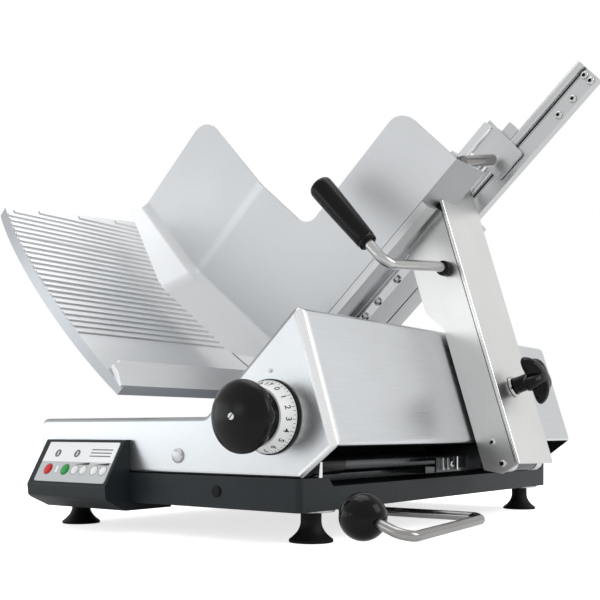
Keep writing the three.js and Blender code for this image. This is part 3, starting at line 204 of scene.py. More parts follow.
class Nodes:
    """Adds and links the nodes of one material round its Principled shader."""

    def __init__(self, name):
        self.material = bpy.data.materials.new(name)
        self.material.use_nodes = True
        self.tree = self.material.node_tree
        self.tree.nodes.clear()
        self.output = self.add("OutputMaterial")
        self.shader = self.add("BsdfPrincipled")
        self.link(self.shader.outputs[0], self.output.inputs[0])

    def add(self, kind, **values):
        node = self.tree.nodes.new("ShaderNode" + kind)
        for key, value in values.items():
            setattr(node, key, value)
        return node

    def link(self, source, target):
        self.tree.links.new(source, target)

    def place(self, stretch=(1, 1, 1), turn=0.0):
        """Object coordinates in a system turned about Y, drawn out by stretch along its axes."""
        coordinates = self.add("TexCoord")
        mapping = self.add("Mapping", vector_type="TEXTURE")
        mapping.inputs["Rotation"].default_value = (0, turn, 0)
        mapping.inputs["Scale"].default_value = stretch
        self.link(coordinates.outputs["Object"], mapping.inputs["Vector"])
        return mapping.outputs[0]

    def noise(self, scale, detail=2, stretch=(1, 1, 1), turn=0.0):
        node = self.add("TexNoise")
        node.inputs["Scale"].default_value = scale
        node.inputs["Detail"].default_value = detail
        self.link(self.place(stretch, turn), node.inputs["Vector"])
        return node.outputs["Fac"]

    def ramp(self, source, stops):
        node = self.add("ValToRGB")
        elements = node.color_ramp.elements
        while len(elements) < len(stops):
            elements.new(1)
        for element, (position, colour) in zip(elements, stops):
            element.position = position
            element.color = (*colour, 1)
        self.link(source, node.inputs[0])
        return node.outputs[0]

    def span(self, source, low, high):
        node = self.add("MapRange")
        node.inputs["To Min"].default_value = low
        node.inputs["To Max"].default_value = high
        self.link(source, node.inputs["Value"])
        return node.outputs[0]

    def multiply(self, factor, first, second):
        node = self.add("Mix", data_type="RGBA", blend_type="MULTIPLY")
        node.inputs[0].default_value = factor
        self.link(first, node.inputs[6])
        self.link(second, node.inputs[7])
        return node.outputs[2]

    def bump(self, height, strength, distance=0.001):
        node = self.add("Bump")
        node.inputs["Strength"].default_value = strength
        node.inputs["Distance"].default_value = distance
        self.link(height, node.inputs["Height"])
        self.link(node.outputs[0], self.shader.inputs["Normal"])

    def colour(self, socket):
        self.link(socket, self.shader.inputs["Base Color"])

    def rough(self, socket):
        self.link(socket, self.shader.inputs["Roughness"])


def scaled(colour, factor):
    return tuple(min(1.0, c * factor) for c in colour)


def metal(name, colour, roughness, stretch=(1, 1, 1), turn=0.0, grain=0.03, blotch=0.05, wear=0.05):
    """Bare metal with a brushed grain drawn out along stretch, and cloudy changes of tone."""
    n = Nodes(name)
    n.shader.inputs["Metallic"].default_value = 1
    clouds = n.noise(6, 3)
    streaks = n.noise(700, 3, stretch, turn)
    tone = n.ramp(clouds, ((0.3, scaled(colour, 1 - blotch)), (0.7, scaled(colour, 1 + blotch / 2))))
    grain_tone = n.ramp(streaks, ((0.3, (1 - wear,) * 3), (0.65, (1, 1, 1))))
    n.colour(n.multiply(1, tone, grain_tone))
    n.rough(n.span(n.noise(500, 2, stretch, turn), roughness - 0.05, roughness + 0.05))
    n.bump(streaks, grain, 0.0002)
    return n.material


def polished(name, colour, roughness, blotch=0.06):
    """Turned, plated or chromed metal without a grain, with faint smears."""
    n = Nodes(name)
    n.shader.inputs["Metallic"].default_value = 1
    clouds = n.noise(40, 4)
    n.colour(n.ramp(clouds, ((0.3, scaled(colour, 1 - blotch)), (0.7, colour))))
    n.rough(n.span(clouds, roughness * 0.6, roughness * 1.4))
    return n.material


def moulded(name, colour, roughness, peel=0.1, scale=900, variation=0.15, gloss=0.5):
    """Paint, plastic or rubber: a fine skin texture and slight changes of tone and sheen."""
    n = Nodes(name)
    clouds = n.noise(20, 3)
    n.colour(n.ramp(clouds, ((0.3, scaled(colour, 1 - variation)), (0.7, colour))))
    n.rough(n.span(n.noise(90, 3), roughness - 0.04, roughness + 0.05))
    n.shader.inputs["Specular IOR Level"].default_value = gloss
    n.bump(n.noise(scale, 2), peel, 0.0002)
    return n.material


LONG = 40.0  # how far a brushed grain is drawn out
ALONG_Y = (1, LONG, 1)
ALONG_X = (LONG, 1, 1)
ALONG_Z = (1, 1, LONG)

MATERIALS = {
    "housing": metal("housing_brushed_steel", (0.701, 0.722, 0.739), 0.3, ALONG_Y),
    "tray": metal("tray_satin_steel", (0.705, 0.722, 0.738), 0.4, ALONG_Y, grain=0.02, wear=0.03),
    "post": metal("post_satin_aluminium", (0.8, 0.8, 0.79), 0.32, ALONG_Z, -LEAN_ANGLE, 0.02, wear=0.03),
    "gauge": metal("gauge_satin_aluminium", (0.69, 0.70, 0.71), 0.38, ALONG_Y, grain=0.06),
    "rail": metal("rail_anodised", (0.61, 0.616, 0.622), 0.35, ALONG_X, -FEED_ANGLE),
    "aluminium": metal("satin_aluminium", (0.708, 0.72, 0.732), 0.36, ALONG_Y),
    # Near black: painted shade for thin dark lines at sheet edges, folds and grooves.
    "painted_dark_line": metal("dark_line_painted_shade", (0.03, 0.031, 0.032), 0.45),
    # Painted shade: a darker tone for the gauge plate's side edges.
    "plate_edge_painted_shade": metal("aluminium_edge_painted_darker", (0.537, 0.555, 0.58), 0.42),
    # Bright metal for small bright parts, also used for highlights painted along folds and bends.
    "bright": metal("bright_metal_and_painted_highlight", (0.94, 0.945, 0.95), 0.25),
    "cover": metal("brushed_cover_steel", (0.732, 0.744, 0.756), 0.26),
    "knife": metal("ground_knife_steel", (0.756, 0.769, 0.781), 0.16, grain=0.02, wear=0.06),
    "chrome": polished("bright_chrome", (0.525, 0.525, 0.519), 0.16),
    "bar": polished("satin_steel_bar", (0.338, 0.331, 0.325), 0.2),
    "dome": metal("satin_dome", (0.66, 0.67, 0.68), 0.38),
    # Painted shade: a darker copy of the steel for the tray's downward faces and the housing's top rim.
    "shade_painted_steel": metal("steel_painted_darker_for_shade", (0.36, 0.37, 0.375), 0.4, ALONG_Y),
    "screw": polished("zinc_plated_screw", (0.625, 0.625, 0.625), 0.18),
    # Painted shade: steel drawn dark for the parts that sit in the shaded recess.
    "shade_darkened_steel": polished("recess_steel_painted_dark_as_shade", (0.1, 0.105, 0.11), 0.25),
    "anthracite": moulded("anthracite_paint", (0.015, 0.0205, 0.0235), 0.42, 0.14, 700, gloss=0.25),
    # Near black: painted shade inside the recess, on its guide blocks and in screw slots and sockets.
    "painted_shade_black": moulded("near_black_painted_shade", (0.006, 0.009, 0.011), 0.7, gloss=0.15),
    "black": moulded("black_thermoset", (0.002, 0.002, 0.0021), 0.16, 0.02, 300, gloss=0.17),
    "satin_black": moulded("satin_black_plastic", (0.0026, 0.0026, 0.0026), 0.23, 0.04, 500, gloss=0.19),
    "rubber": moulded("black_rubber", (0.005, 0.005, 0.0053), 0.5, 0.2, 1400, gloss=0.18),
    "white": moulded("white_plastic", (0.87, 0.88, 0.87), 0.35, 0.04, variation=0.03),
    "foil_white": moulded("white_foil", (0.93, 0.945, 0.95), 0.35, 0.03, variation=0.03),
    "foil_grey": moulded("grey_foil", (0.55, 0.57, 0.58), 0.38, 0.03, variation=0.04),
    "print_black": moulded("black_print", (0.012, 0.012, 0.013), 0.5, 0.02),
    "print_grey": moulded("grey_print", (0.16, 0.165, 0.17), 0.5, 0.02),
    "red": moulded("red_button", (0.64, 0.01, 0.014), 0.28, 0.04),
    "green": moulded("green_button", (0.008, 0.36, 0.055), 0.28, 0.04),
}

# ---------- pieces ----------


def body_of(node):
    return frame["nodes"][node]["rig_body"]


def slot_of(node):
    return next(part["material_slot"] for part in frame["record"]["subparts"] if part["node"] == node)


def declare(obj, body, slot, *replaced):
    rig.ride(obj, body)
    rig.slot(obj, slot)
    if replaced:
        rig.replaces(obj, *replaced)
    return obj


def stands_for(obj, node):
    return declare(obj, body_of(node), slot_of(node), node)


def piece(name, mesh, *materials, crease=38):
    """Links a mesh as an object with smooth faces and sharp creases."""
    for material in materials:
        mesh.materials.append(MATERIALS[material])
    obj = bpy.data.objects.new(name, mesh)
    bpy.context.scene.collection.objects.link(obj)
    mesh.shade_smooth()
    mesh.set_sharp_from_angle(angle=math.radians(crease))
    return obj


def from_work(name, work, matrix, *materials, crease=38):
    mesh = bpy.data.meshes.new(name)
    bmesh.ops.recalc_face_normals(work, faces=work.faces)
    work.to_mesh(mesh)
    work.free()
    mesh.transform(matrix)
    return piece(name, mesh, *materials, crease=crease)


def applied(obj, flat=True):
    """Bakes an object's modifiers into its mesh. flat keeps large faces plane up to their rounded rims."""
    if flat:
        weighted = obj.modifiers.new("flat", "WEIGHTED_NORMAL")
        weighted.keep_sharp = True
    graph = bpy.context.evaluated_depsgraph_get()
    baked = bpy.data.meshes.new_from_object(obj.evaluated_get(graph))
    obj.modifiers.clear()
    obj.data = baked
    return obj


def turned(name, profile, matrix, material, segments=72, wave=None, crease=38):
    """A piece turned round the matrix's Z from (radius, height) points. wave may change a radius."""
    work = bmesh.new()
    rings = []
    for radius, height in profile:
        if radius == 0:
            rings.append([work.verts.new((0, 0, height))])
            continue
        ring = []
        for i in range(segments):
            angle = 2 * math.pi * i / segments
            r = wave(angle, radius, height) if wave else radius
            ring.append(work.verts.new((r * math.cos(angle), r * math.sin(angle), height)))
        rings.append(ring)
    for low, high in zip(rings, rings[1:]):
        for i in range(segments):
            k = i + 1
            corners = [low[i % len(low)], low[k % len(low)], high[k % len(high)], high[i % len(high)]]
            work.faces.new(list(dict.fromkeys(corners)))
    return from_work(name, work, matrix, material, crease=crease)


def arc(centre_r, centre_z, radius, start, end, steps=8):
    """Profile points on an arc, with angles in degrees from the radial direction."""
    angles = [math.radians(start + (end - start) * i / steps) for i in range(steps + 1)]
    return [(centre_r + radius * math.cos(a), centre_z + radius * math.sin(a)) for a in angles]


def rounded(points, steps=8):
    """An outline whose (x, y, radius) corners become arcs."""
    result = []
    for i, point in enumerate(points):
        here = Vector(point[:2])
        radius = point[2] if len(point) > 2 else 0
        if not radius:
            result.append(here)
            continue
        back = (Vector(points[i - 1][:2]) - here).normalized()
        ahead = (Vector(points[(i + 1) % len(points)][:2]) - here).normalized()
        half = back.angle(ahead) / 2
        centre = here + (back + ahead).normalized() * (radius / math.sin(half))
        first = here + back * (radius / math.tan(half)) - centre
        last = here + ahead * (radius / math.tan(half)) - centre
        sweep = first.angle_signed(last)
        result += [centre + Matrix.Rotation(-sweep * k / steps, 2) @ first for k in range(steps + 1)]
    return result


def prism(name, outline, low, high, matrix, material, edge=0.6, segments=3):
    """An outline in the matrix's XY plane made solid from low to high, with rounded rims."""
    work = bmesh.new()
    bottom = [work.verts.new((p.x, p.y, low)) for p in rounded(outline)]
    top = [work.verts.new((v.co.x, v.co.y, high)) for v in bottom]
    work.faces.new(bottom)
    work.faces.new(top)
    for i in range(len(bottom)):
        k = (i + 1) % len(bottom)
        work.faces.new((bottom[i], bottom[k], top[k], top[i]))
    obj = from_work(name, work, matrix, material, crease=30 if not edge else 180)
    if edge:
        bevel = obj.modifiers.new("rim", "BEVEL")
        bevel.width = edge * MM
        bevel.segments = segments
        bevel.limit_method = "ANGLE"
        bevel.angle_limit = math.radians(50)
        applied(obj)
    return obj


def slab(name, low, high, matrix, material, edge=0.6):
    """A box between two corners, with rounded edges."""
    outline = ((low[0], low[1]), (high[0], low[1]), (high[0], high[1]), (low[0], high[1]))
    return prism(name, outline, low[2], high[2], matrix, material, edge)


def rod(name, points, radius, matrix, material, bend=0.0, sides=32):
    """A round bar through the points, with its corners bent on a radius."""
    bend_steps = 12
    path = [Vector(points[0])]
    for before, corner, after in zip(points, points[1:], points[2:]):
        corner = Vector(corner)
        back = (Vector(before) - corner).normalized()
        ahead = (Vector(after) - corner).normalized()
        half = back.angle(ahead) / 2
        reach = bend / math.tan(half)
        start, end = corner + back * reach, corner + ahead * reach
        centre = corner + (back + ahead).normalized() * (bend / math.sin(half))
        for k in range(bend_steps + 1):
            share = k / bend_steps
            ray = (start - centre).normalized().slerp((end - centre).normalized(), share)
            path.append(centre + ray * bend)
    path.append(Vector(points[-1]))
    work = bmesh.new()
    rings = []
    across = None
    for i, place in enumerate(path):
        along = (path[min(i + 1, len(path) - 1)] - path[max(i - 1, 0)]).normalized()
        if across is None:
            across = along.orthogonal().normalized()
        across = (across - along * across.dot(along)).normalized()
        other = along.cross(across)
        turns = [2 * math.pi * k / sides for k in range(sides)]
        spokes = [across * math.cos(t) + other * math.sin(t) for t in turns]
        rings.append([work.verts.new(place + spoke * radius) for spoke in spokes])
    for low, high in zip(rings, rings[1:]):
        for k in range(sides):
            work.faces.new((low[k], low[(k + 1) % sides], high[(k + 1) % sides], high[k]))
    work.faces.new(rings[0])
    work.faces.new(rings[-1])
    return from_work(name, work, matrix, material)


def lettering(name, words, size, matrix, material, depth=0.12):
    """Plain generic characters, printed proud by depth, centred on the matrix."""
    curve = bpy.data.curves.new(name, "FONT")
    curve.body = words
    curve.size = size
    curve.extrude = depth
    curve.offset = size * 0.012
    curve.align_x, curve.align_y = "CENTER", "CENTER"
    text = bpy.data.objects.new(name + "_curve", curve)
    mesh = bpy.data.meshes.new_from_object(text)
    bpy.data.objects.remove(text)
    mesh.transform(matrix)
    return piece(name, mesh, material)


def joined(name, pieces):
    """One object made of several."""
    with bpy.context.temp_override(active_object=pieces[0], selected_editable_objects=pieces):
        bpy.ops.object.join()
    pieces[0].name = name
    return pieces[0]


def softened(node, material, width=0.5, rule=None, segments=3, clamp=True):
    """A copy of a CAD node with rounded edges. rule gives an edge its own width, or None for the usual."""
    widest = 10  # an edge's weight is its share of this width
    work = bmesh.new()
    work.from_mesh(frame["nodes"][node].data)
    bmesh.ops.remove_doubles(work, verts=work.verts, dist=2e-6)
    flat = math.radians(1.5)
    bmesh.ops.dissolve_limit(work, angle_limit=flat, verts=work.verts, edges=work.edges)
    weight = work.edges.layers.float.new("bevel_weight_edge")
    for edge in work.edges:
        bend = edge.calc_face_angle(0)
        size = width if bend > math.radians(28) else 0
        if rule:
            ends = [vertex.co for vertex in edge.verts]
            special = rule((ends[0] + ends[1]) / 2, (ends[1] - ends[0]).normalized(), bend)
            size = size if special is None else special
        edge[weight] = size / widest
    mesh = bpy.data.meshes.new(node + "_look")
    work.to_mesh(mesh)
    work.free()
    obj = piece(node + "_look", mesh, material, crease=180 if width else 30)
    bevel = obj.modifiers.new("rim", "BEVEL")
    bevel.width = widest * MM
    bevel.segments = segments
    bevel.limit_method = "WEIGHT"
    bevel.use_clamp_overlap = clamp
    applied(obj)
    return stands_for(obj, node)


def paint_faces(obj, material, system, chosen):
    """Gives another material to the faces whose place and normal, in the system's axes, are chosen."""
    turn = system.to_3x3().normalized().inverted()
    obj.data.materials.append(MATERIALS[material])
    slot = len(obj.data.materials) - 1
    for face in obj.data.polygons:
        if chosen(in_system(system, face.center), turn @ face.normal):
            face.material_index = slot


# ---------- stage ----------

WORLD_LIGHT = 0.82  # the world's strength for the rays that seen_white leaves out
FLOOR_GLOW = 0.72  # the floor's own light for the rays that it takes in


def seen_white(tree):
    """1 for the rays that see pure white, which are the camera's and refracted ones, and 0 for the rest."""
    path = tree.nodes.new("ShaderNodeLightPath")
    either = tree.nodes.new("ShaderNodeMath")
    either.operation = "MAXIMUM"
    tree.links.new(path.outputs["Is Camera Ray"], either.inputs[0])
    tree.links.new(path.outputs["Is Transmission Ray"], either.inputs[1])
    return either.outputs[0]


def build_stage():
    work = bmesh.new()
    bmesh.ops.create_grid(work, x_segments=1, y_segments=1, size=6000)
    floor = from_work("floor", work, Matrix.Scale(MM, 4))
    n = Nodes("floor_white")
    n.shader.inputs["Base Color"].default_value = (0.9, 0.9, 0.9, 1)
    n.shader.inputs["Roughness"].default_value = 0.8
    n.shader.inputs["Specular IOR Level"].default_value = 0
    n.shader.inputs["Emission Color"].default_value = (1, 1, 1, 1)
    glow = n.add("Math", operation="MULTIPLY")
    glow.inputs[1].default_value = FLOOR_GLOW
    n.link(seen_white(n.tree), glow.inputs[0])
    n.link(glow.outputs[0], n.shader.inputs["Emission Strength"])
    floor.data.materials.append(n.material)
    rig.stage(floor)


def build_world():
    world = bpy.data.worlds.new("studio")
    world.use_nodes = True
    bpy.context.scene.world = world
    tree = world.node_tree
    background = tree.nodes["Background"]
    background.inputs[0].default_value = (1, 1, 1, 1)
    strength = tree.nodes.new("ShaderNodeMapRange")
    strength.inputs["To Min"].default_value = WORLD_LIGHT
    strength.inputs["To Max"].default_value = 1
    tree.links.new(seen_white(tree), strength.inputs["Value"])
    tree.links.new(strength.outputs[0], background.inputs[1])
    bpy.context.scene.view_settings.view_transform = "Standard"


def area_light(name, place, target, size, power, colour=(1, 1, 1)):
    """A rectangular lamp turned to its target. Places and sizes are in metres and power is in watts."""
    data = bpy.data.lights.new(name, "AREA")
    data.shape = "RECTANGLE"
    data.size, data.size_y = size
    data.energy = power
    data.color = colour
    light = bpy.data.objects.new(name, data)
    bpy.context.scene.collection.objects.link(light)
    light.location = place
    light.rotation_euler = (Vector(target) - Vector(place)).to_track_quat("-Z", "Y").to_euler()


def build_lights():
    area_light("front_left", (-2.1, -1.35, 0.38), (0, 0, 0.2), (1.9, 0.7), 5, (0.9, 0.96, 1))
    area_light("right", (2.0, 0.6, 1.3), (0, 0, 0.2), (1.2, 1.2), 12)
    area_light("front", (-0.75, -2.1, 0.46), (0.2, 0, 0.3), (0.55, 0.4), 1.1, (0.94, 0.98, 1))
    area_light("top", (-0.2, 0.1, 2.2), (0, 0, 0.2), (1.6, 1.6), 14.5)


# ---------- plinth and feet ----------

FOOT_PROFILE = [(0, 0), (24.6, 0), (25, 0.6), (25, 2.6), (24.2, 3.6), (21.5, 5.6), (18, 8.8), (15, 12.6),
                (13, 16.6), (12.1, 20), (11.8, 23), (11.8, 33.7), (0, 33.7)]
PLATE_PROFILE = [(0, 34), (26.4, 34), (27, 34.5), (27, 36.2), (26.4, 36.7), (0, 36.7)]


def build_feet():
    for corner in ("front_left", "front_right", "rear_left", "rear_right"):
        low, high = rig.box("foot_" + corner)
        middle = in_system(MACHINE, (low + high) / 2)
        matrix = at(MACHINE, middle.x, middle.y, 0)
        stands_for(turned(f"rubber_foot_{corner}", FOOT_PROFILE, matrix, "rubber"), "foot_" + corner)
        plate = turned(f"foot_washer_{corner}", PLATE_PROFILE, matrix, "aluminium")
        stands_for(plate, "foot_plate_" + corner)


def build_plinth():
    softened("plinth", "anthracite", 1.2)
    plug = turned("plinth_screw_plug", [(0, 0.3), (6.5, 0.3), (6.5, 1.2), (5.8, 1.9), (0, 2.1)],
                  at(MACHINE, -118, 0, 56) @ TO_FRONT, "rubber", 40)
    stands_for(plug, "plinth_plug")


# ---------- housing ----------


RIM_WIDTH = 3.4  # of the rounding between the housing's front and the faces round it
RIM_REACH = 6  # how far behind the front its top edge's rounding is painted darker, as shade
BEND_REACH = 12  # and its right edge's is painted brighter, as a highlight


def housing_rounding(centre, _direction, bend):
    """No rounding inside the recess, a wide one round the front, and the usual one elsewhere."""
    here = in_system(MACHINE, centre)
    if -90 < here.x < 40 and 8 < here.y < 630 and here.z < 109:
        return 0
    front_rim = here.y < 0.5 and here.z > 80 and bend > 1.2
    return RIM_WIDTH if front_rim else None


def in_recess(place, _normal):
    return -93 < place.x < 46 and 5.5 < place.y < 633 and place.z < 108.5


def on_right_rim(place, normal):
    return place.y < BEND_REACH and normal.x > 0.08 and -0.985 < normal.y < -0.05


def on_top_rim(place, normal):
    return place.y < RIM_REACH and normal.z > 0.15 and normal.x < 0.05 and -0.97 < normal.y < -0.1


def build_housing():
    housing = softened("housing", "housing", 0.8, housing_rounding)
    # The recess's faces are painted near black, as shade.
    paint_faces(housing, "painted_shade_black", MACHINE, in_recess)
    # A painted highlight along the bend between the front and the right side.
    paint_faces(housing, "bright", MACHINE, on_right_rim)
    # Painted shade along the rounding of the front's top edge.
    paint_faces(housing, "shade_painted_steel", MACHINE, on_top_rim)
    plug_profile = [(0, 0.3), (8.6, 0.3), *arc(4.6, 0.3, 4, 0, 70, 6), (3, 4.6), (0, 4.9)]
    plug_place = at(MACHINE, -178, 0, 95) @ TO_FRONT
    stands_for(turned("housing_round_plug", plug_profile, plug_place, "dome", 48), "housing_plug")
    index_profile = [(0, 0.3), (2.2, 0.3), (2.2, 1.4), (1.5, 2.1), (0, 2.3)]
    index_place = at(MACHINE, DIAL_X, 0, 189) @ TO_FRONT
    stands_for(turned("dial_index_pin", index_profile, index_place, "white", 32), "dial_index")


# ---------- carriage guide in the recess ----------


def guide_axis(node):
    """A matrix whose Z runs back along a guide piece from its front end, and the piece's length."""
    low, high = (in_system(MACHINE, corner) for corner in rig.box(node))
    axis = at(MACHINE, (low.x + high.x) / 2, low.y, (low.z + high.z) / 2) @ TO_BACK
    return axis, high.y - low.y


def build_guide():
    axis, length = guide_axis("guide_rod")
    shaft = [(0, 0), (9.4, 0), (10, 0.6), (10, length - 0.6), (9.4, length), (0, length)]
    # The shaft is drawn in darkened steel, as painted shade of the recess.
    stands_for(turned("guide_shaft", shaft, axis, "shade_darkened_steel", 48), "guide_rod")
    axis, _ = guide_axis("guide_buffer")
    sleeve = [(10.3, 0), (13, 0), (13.5, 0.6), (13.5, 13), (12.4, 14), (12.4, 60), (11.8, 62), (10.3, 62),
              (10.3, 0)]
    stands_for(turned("rubber_end_buffer", sleeve, axis, "satin_black", 48), "guide_buffer")
    # The guide blocks deep in the recess are painted near black, as shade.
    for end in ("front", "rear"):
        softened("guide_block_" + end, "painted_shade_black", 0.6)
    # The track is drawn in darkened steel, as painted shade of the recess.
    softened("carriage_track", "shade_darkened_steel", 0.4)


def build_block_fittings():
    """A stop plate with small fittings ahead of the slide block, and a stud by the recess's front wall."""
    # The stop plate is drawn in darkened steel, as painted shade of the recess.
    parts = [slab("stop_plate", (20, 252, 72), (23, 317, 91), MACHINE, "shade_darkened_steel", 0.5)]
    for y in (262, 274):
        parts.append(slab(f"stop_lug_{y}", (22.8, y, 75), (27, y + 5, 90), MACHINE, "screw", 0.6))
    parts.append(socket_screw("stop_screw", 4.6, at(MACHINE, 22.8, 290, 82) @ TO_RIGHT, 4))
    parts.append(rod("stop_pin", [(25, 303, 74), (25, 303, 91)], 1.3, MACHINE, "bright", 0, 16))
    declare(joined("slide_block_fittings", parts), "carriage_slide_block", "aluminium")
    stud = rod("recess_stud", [(12, 20, 74.5), (12, 20, 91)], 2.2, MACHINE, "bright", 0, 20)
    declare(stud, "base", "bright")


# ---------- thickness dial ----------

DIAL = at(MACHINE, DIAL_X, 0, DIAL_Z) @ TO_FRONT
# The graduated ring is a cone between these radii and heights.
RING_WIDE, RING_LOW = 39.5, 5.6
RING_NARROW, RING_HIGH = 32, 22
SCALE_NUMBERS = 18
SCALE_PARTS = 3  # marks from one number to the next
SCALE_START = math.radians(56)  # where the 0 stands
MARK_HALF = 0.24
MARK_LONG, MARK_SHORT = 4.4, 2.8
NUMBER_SIZE = 9.6
NUMBER_PLACE = -9.2  # of its middle, from the ring's wide edge
SCALLOPS = 8
SCALLOP_DEPTH = 7.4
SCALLOP_HEIGHT, SCALLOP_REACH = 34.5, 9.5
DOME_RADIUS, DOME_FOOT, DOME_RISE = 39, 48, 17


def ring_surface():
    """On the ring's cone: X clockwise, Y towards the flange, Z out of its surface."""
    run, rise = RING_HIGH - RING_LOW, RING_WIDE - RING_NARROW
    along, out = run / math.hypot(run, rise), rise / math.hypot(run, rise)
    return Matrix(((0, out, along, RING_WIDE), (-1, 0, 0, 0), (0, -along, out, RING_LOW), (0, 0, 0, 1)))


def build_dial_printing():
    surface = ring_surface()
    marks = []
    for i in range(SCALE_NUMBERS * SCALE_PARTS):
        turn = SCALE_START - 2 * math.pi * i / (SCALE_NUMBERS * SCALE_PARTS)
        wall = DIAL @ Matrix.Rotation(turn, 4, "Z") @ surface
        numbered = i % SCALE_PARTS == 0
        low = (-MARK_HALF, -(MARK_LONG if numbered else MARK_SHORT), -0.1)
        marks.append(slab(f"dial_mark_{i}", low, (MARK_HALF, -0.2, 0.08), wall, "print_black", 0))
        if numbered:
            place = wall @ Matrix.Translation((0, NUMBER_PLACE, 0))
            number = str(i // SCALE_PARTS)
            marks.append(lettering(f"dial_number_{i}", number, NUMBER_SIZE, place, "print_black", 0.08))
    declare(joined("dial_printing", marks), "dial", "black_plastic")


def finger_scallops(angle, radius, height):
    depth = max(0.0, 1 - abs(height - SCALLOP_HEIGHT) / SCALLOP_REACH)
    wave = 0.5 - 0.5 * math.cos(SCALLOPS * angle)
    return radius - SCALLOP_DEPTH * depth ** 0.7 * wave ** 1.5


def build_dial():
    flange = [(0, 0.3), (40.4, 0.3), (41, 0.9), (41, 2.6), (40, 3.4), (0, 3.4)]
    stands_for(turned("dial_black_flange", flange, DIAL, "satin_black", 96), "dial_flange")
    ring = [(0, 3.7), (39, 3.7), (RING_WIDE, 4.2), (RING_WIDE, RING_LOW), (RING_NARROW, RING_HIGH),
            (0, RING_HIGH)]
    stands_for(turned("dial_ring", ring, DIAL, "white", 96), "dial_scale")
    build_dial_printing()
    profile = [(0, 22.3), (30, 22.3), (30.4, 23), (30.4, 24.6), (29.4, 25.4), (29.2, 27), (29.6, 29),
               (30.4, 31), (31.8, 33), (33.6, 35), (35.6, 37), (37.2, 38.8), (38.2, 40.4), (38.8, 42.4),
               (DOME_RADIUS, 45), (DOME_RADIUS, 47.4)]
    dome = [math.radians(4 * k) for k in range(1, 21)]
    profile += [(DOME_RADIUS * math.cos(a), DOME_FOOT + DOME_RISE * math.sin(a)) for a in dome]
    profile += [(4.9, 64.9), (4.5, 64.4), (4.5, 61), (0, 61)]
    knob = turned("dial_hand_knob", profile, DIAL, "satin_black", 144, finger_scallops, 50)
    stands_for(knob, "dial_knob")
    screw = slotted_screw("dial_slotted_screw", 4.2, at(DIAL, 0, 0, 61.3), 3.4, math.radians(45))
    stands_for(screw, "dial_screw")


def slotted_screw(name, radius, matrix, height, turn):
    """A cheese-head screw with a sawn slot."""
    head = turned(name, [(0, 0), (radius, 0), (radius, height - 0.5), (radius - 0.5, height), (0, height)],
                  matrix, "screw", 32)
    low = (-radius * 1.2, -radius * 0.14, height - radius * 0.35)
    high = (radius * 1.2, radius * 0.14, height + 1)
    # The slot's faces are painted near black, as shade.
    slot = slab(name + "_slot", low, high, matrix @ Matrix.Rotation(turn, 4, "Z"), "painted_shade_black", 0)
    return cut_by(head, slot)


def socket_screw(name, radius, matrix, height):
    """A domed screw head with a hexagon socket."""
    side = height * 0.3
    dome = [(0, 0), (radius, 0), (radius, side), *arc(radius * 0.55, side, radius * 0.45, 0, 90, 6)]
    top = dome[-1][1]
    head = turned(name, [*dome, (0, top)], matrix, "screw", 32)
    across, floor = radius * 0.5, top * 0.35
    hexagon = [(0, floor), (across, floor), (across, top + 1), (0, top + 1)]
    # The socket's faces are painted near black, as shade.
    return cut_by(head, turned(name + "_socket", hexagon, matrix, "painted_shade_black", 6))


def cut_by(obj, cutter):
    """Cuts one piece out of another. The faces of the cut keep the cutter's material."""
    modifier = obj.modifiers.new("cut", "BOOLEAN")
    modifier.object = cutter
    modifier.operation = "DIFFERENCE"
    modifier.solver = "EXACT"
    modifier.material_mode = "TRANSFER"
    applied(obj, flat=False)
    obj.data.set_sharp_from_angle(angle=math.radians(38))
    bpy.data.objects.remove(cutter)
    return obj


# ---------- control panel ----------

BUTTONS = (("stop_button", -378, 5.6, "red"), ("start_button", -345, 5.6, "green"),
           ("stroke_minus_button", -327, 4.6, "white"), ("stroke_plus_button", -311, 4.6, "white"),
           ("speed_minus_button", -291, 4.6, "white"), ("speed_plus_button", -275, 4.6, "white"))
PANEL_SLOPE = math.hypot(PANEL_TOP[2] - PANEL_NOSE[2], PANEL_TOP[1] - PANEL_NOSE[1])
BUTTON_ROW = 0.33 * PANEL_SLOPE
FOIL = 0.9  # height of the foil's face above the panel's bed
FOIL_LEFT, FOIL_RIGHT = -396.6, -264.4
FIELD_LOW, FIELD_TOP = 0.5 * PANEL_SLOPE, PANEL_SLOPE - 4.6
DISC_PLACES, DISC_ROW, DISC_RADIUS = (-372, -335), 44, 5.4
DISC_BAR = (0.9, 3)  # half its width and height
LINE_LEFT, LINE_RIGHT = -310, -272
LINE_LOW, LINE_STEP, LINE_HEIGHT = 40, 4.5, 1.6
WEDGES = ((-330, -304), (-294, -268))
WEDGE_LOW, WEDGE_TOP = 28.6, 32


def printed(name, outline, material, lift=0.05):
    """A flat printed shape on the panel's foil."""
    return prism(name, outline, FOIL, FOIL + lift, PANEL, material, 0)


def box_outline(left, low, right, high):
    return ((left, low), (right, low), (right, high), (left, high))


def ring_outline(x, y, radius, sides=28):
    turns = [2 * math.pi * k / sides for k in range(sides)]
    return [(x + radius * math.cos(turn), y + radius * math.sin(turn)) for turn in turns]


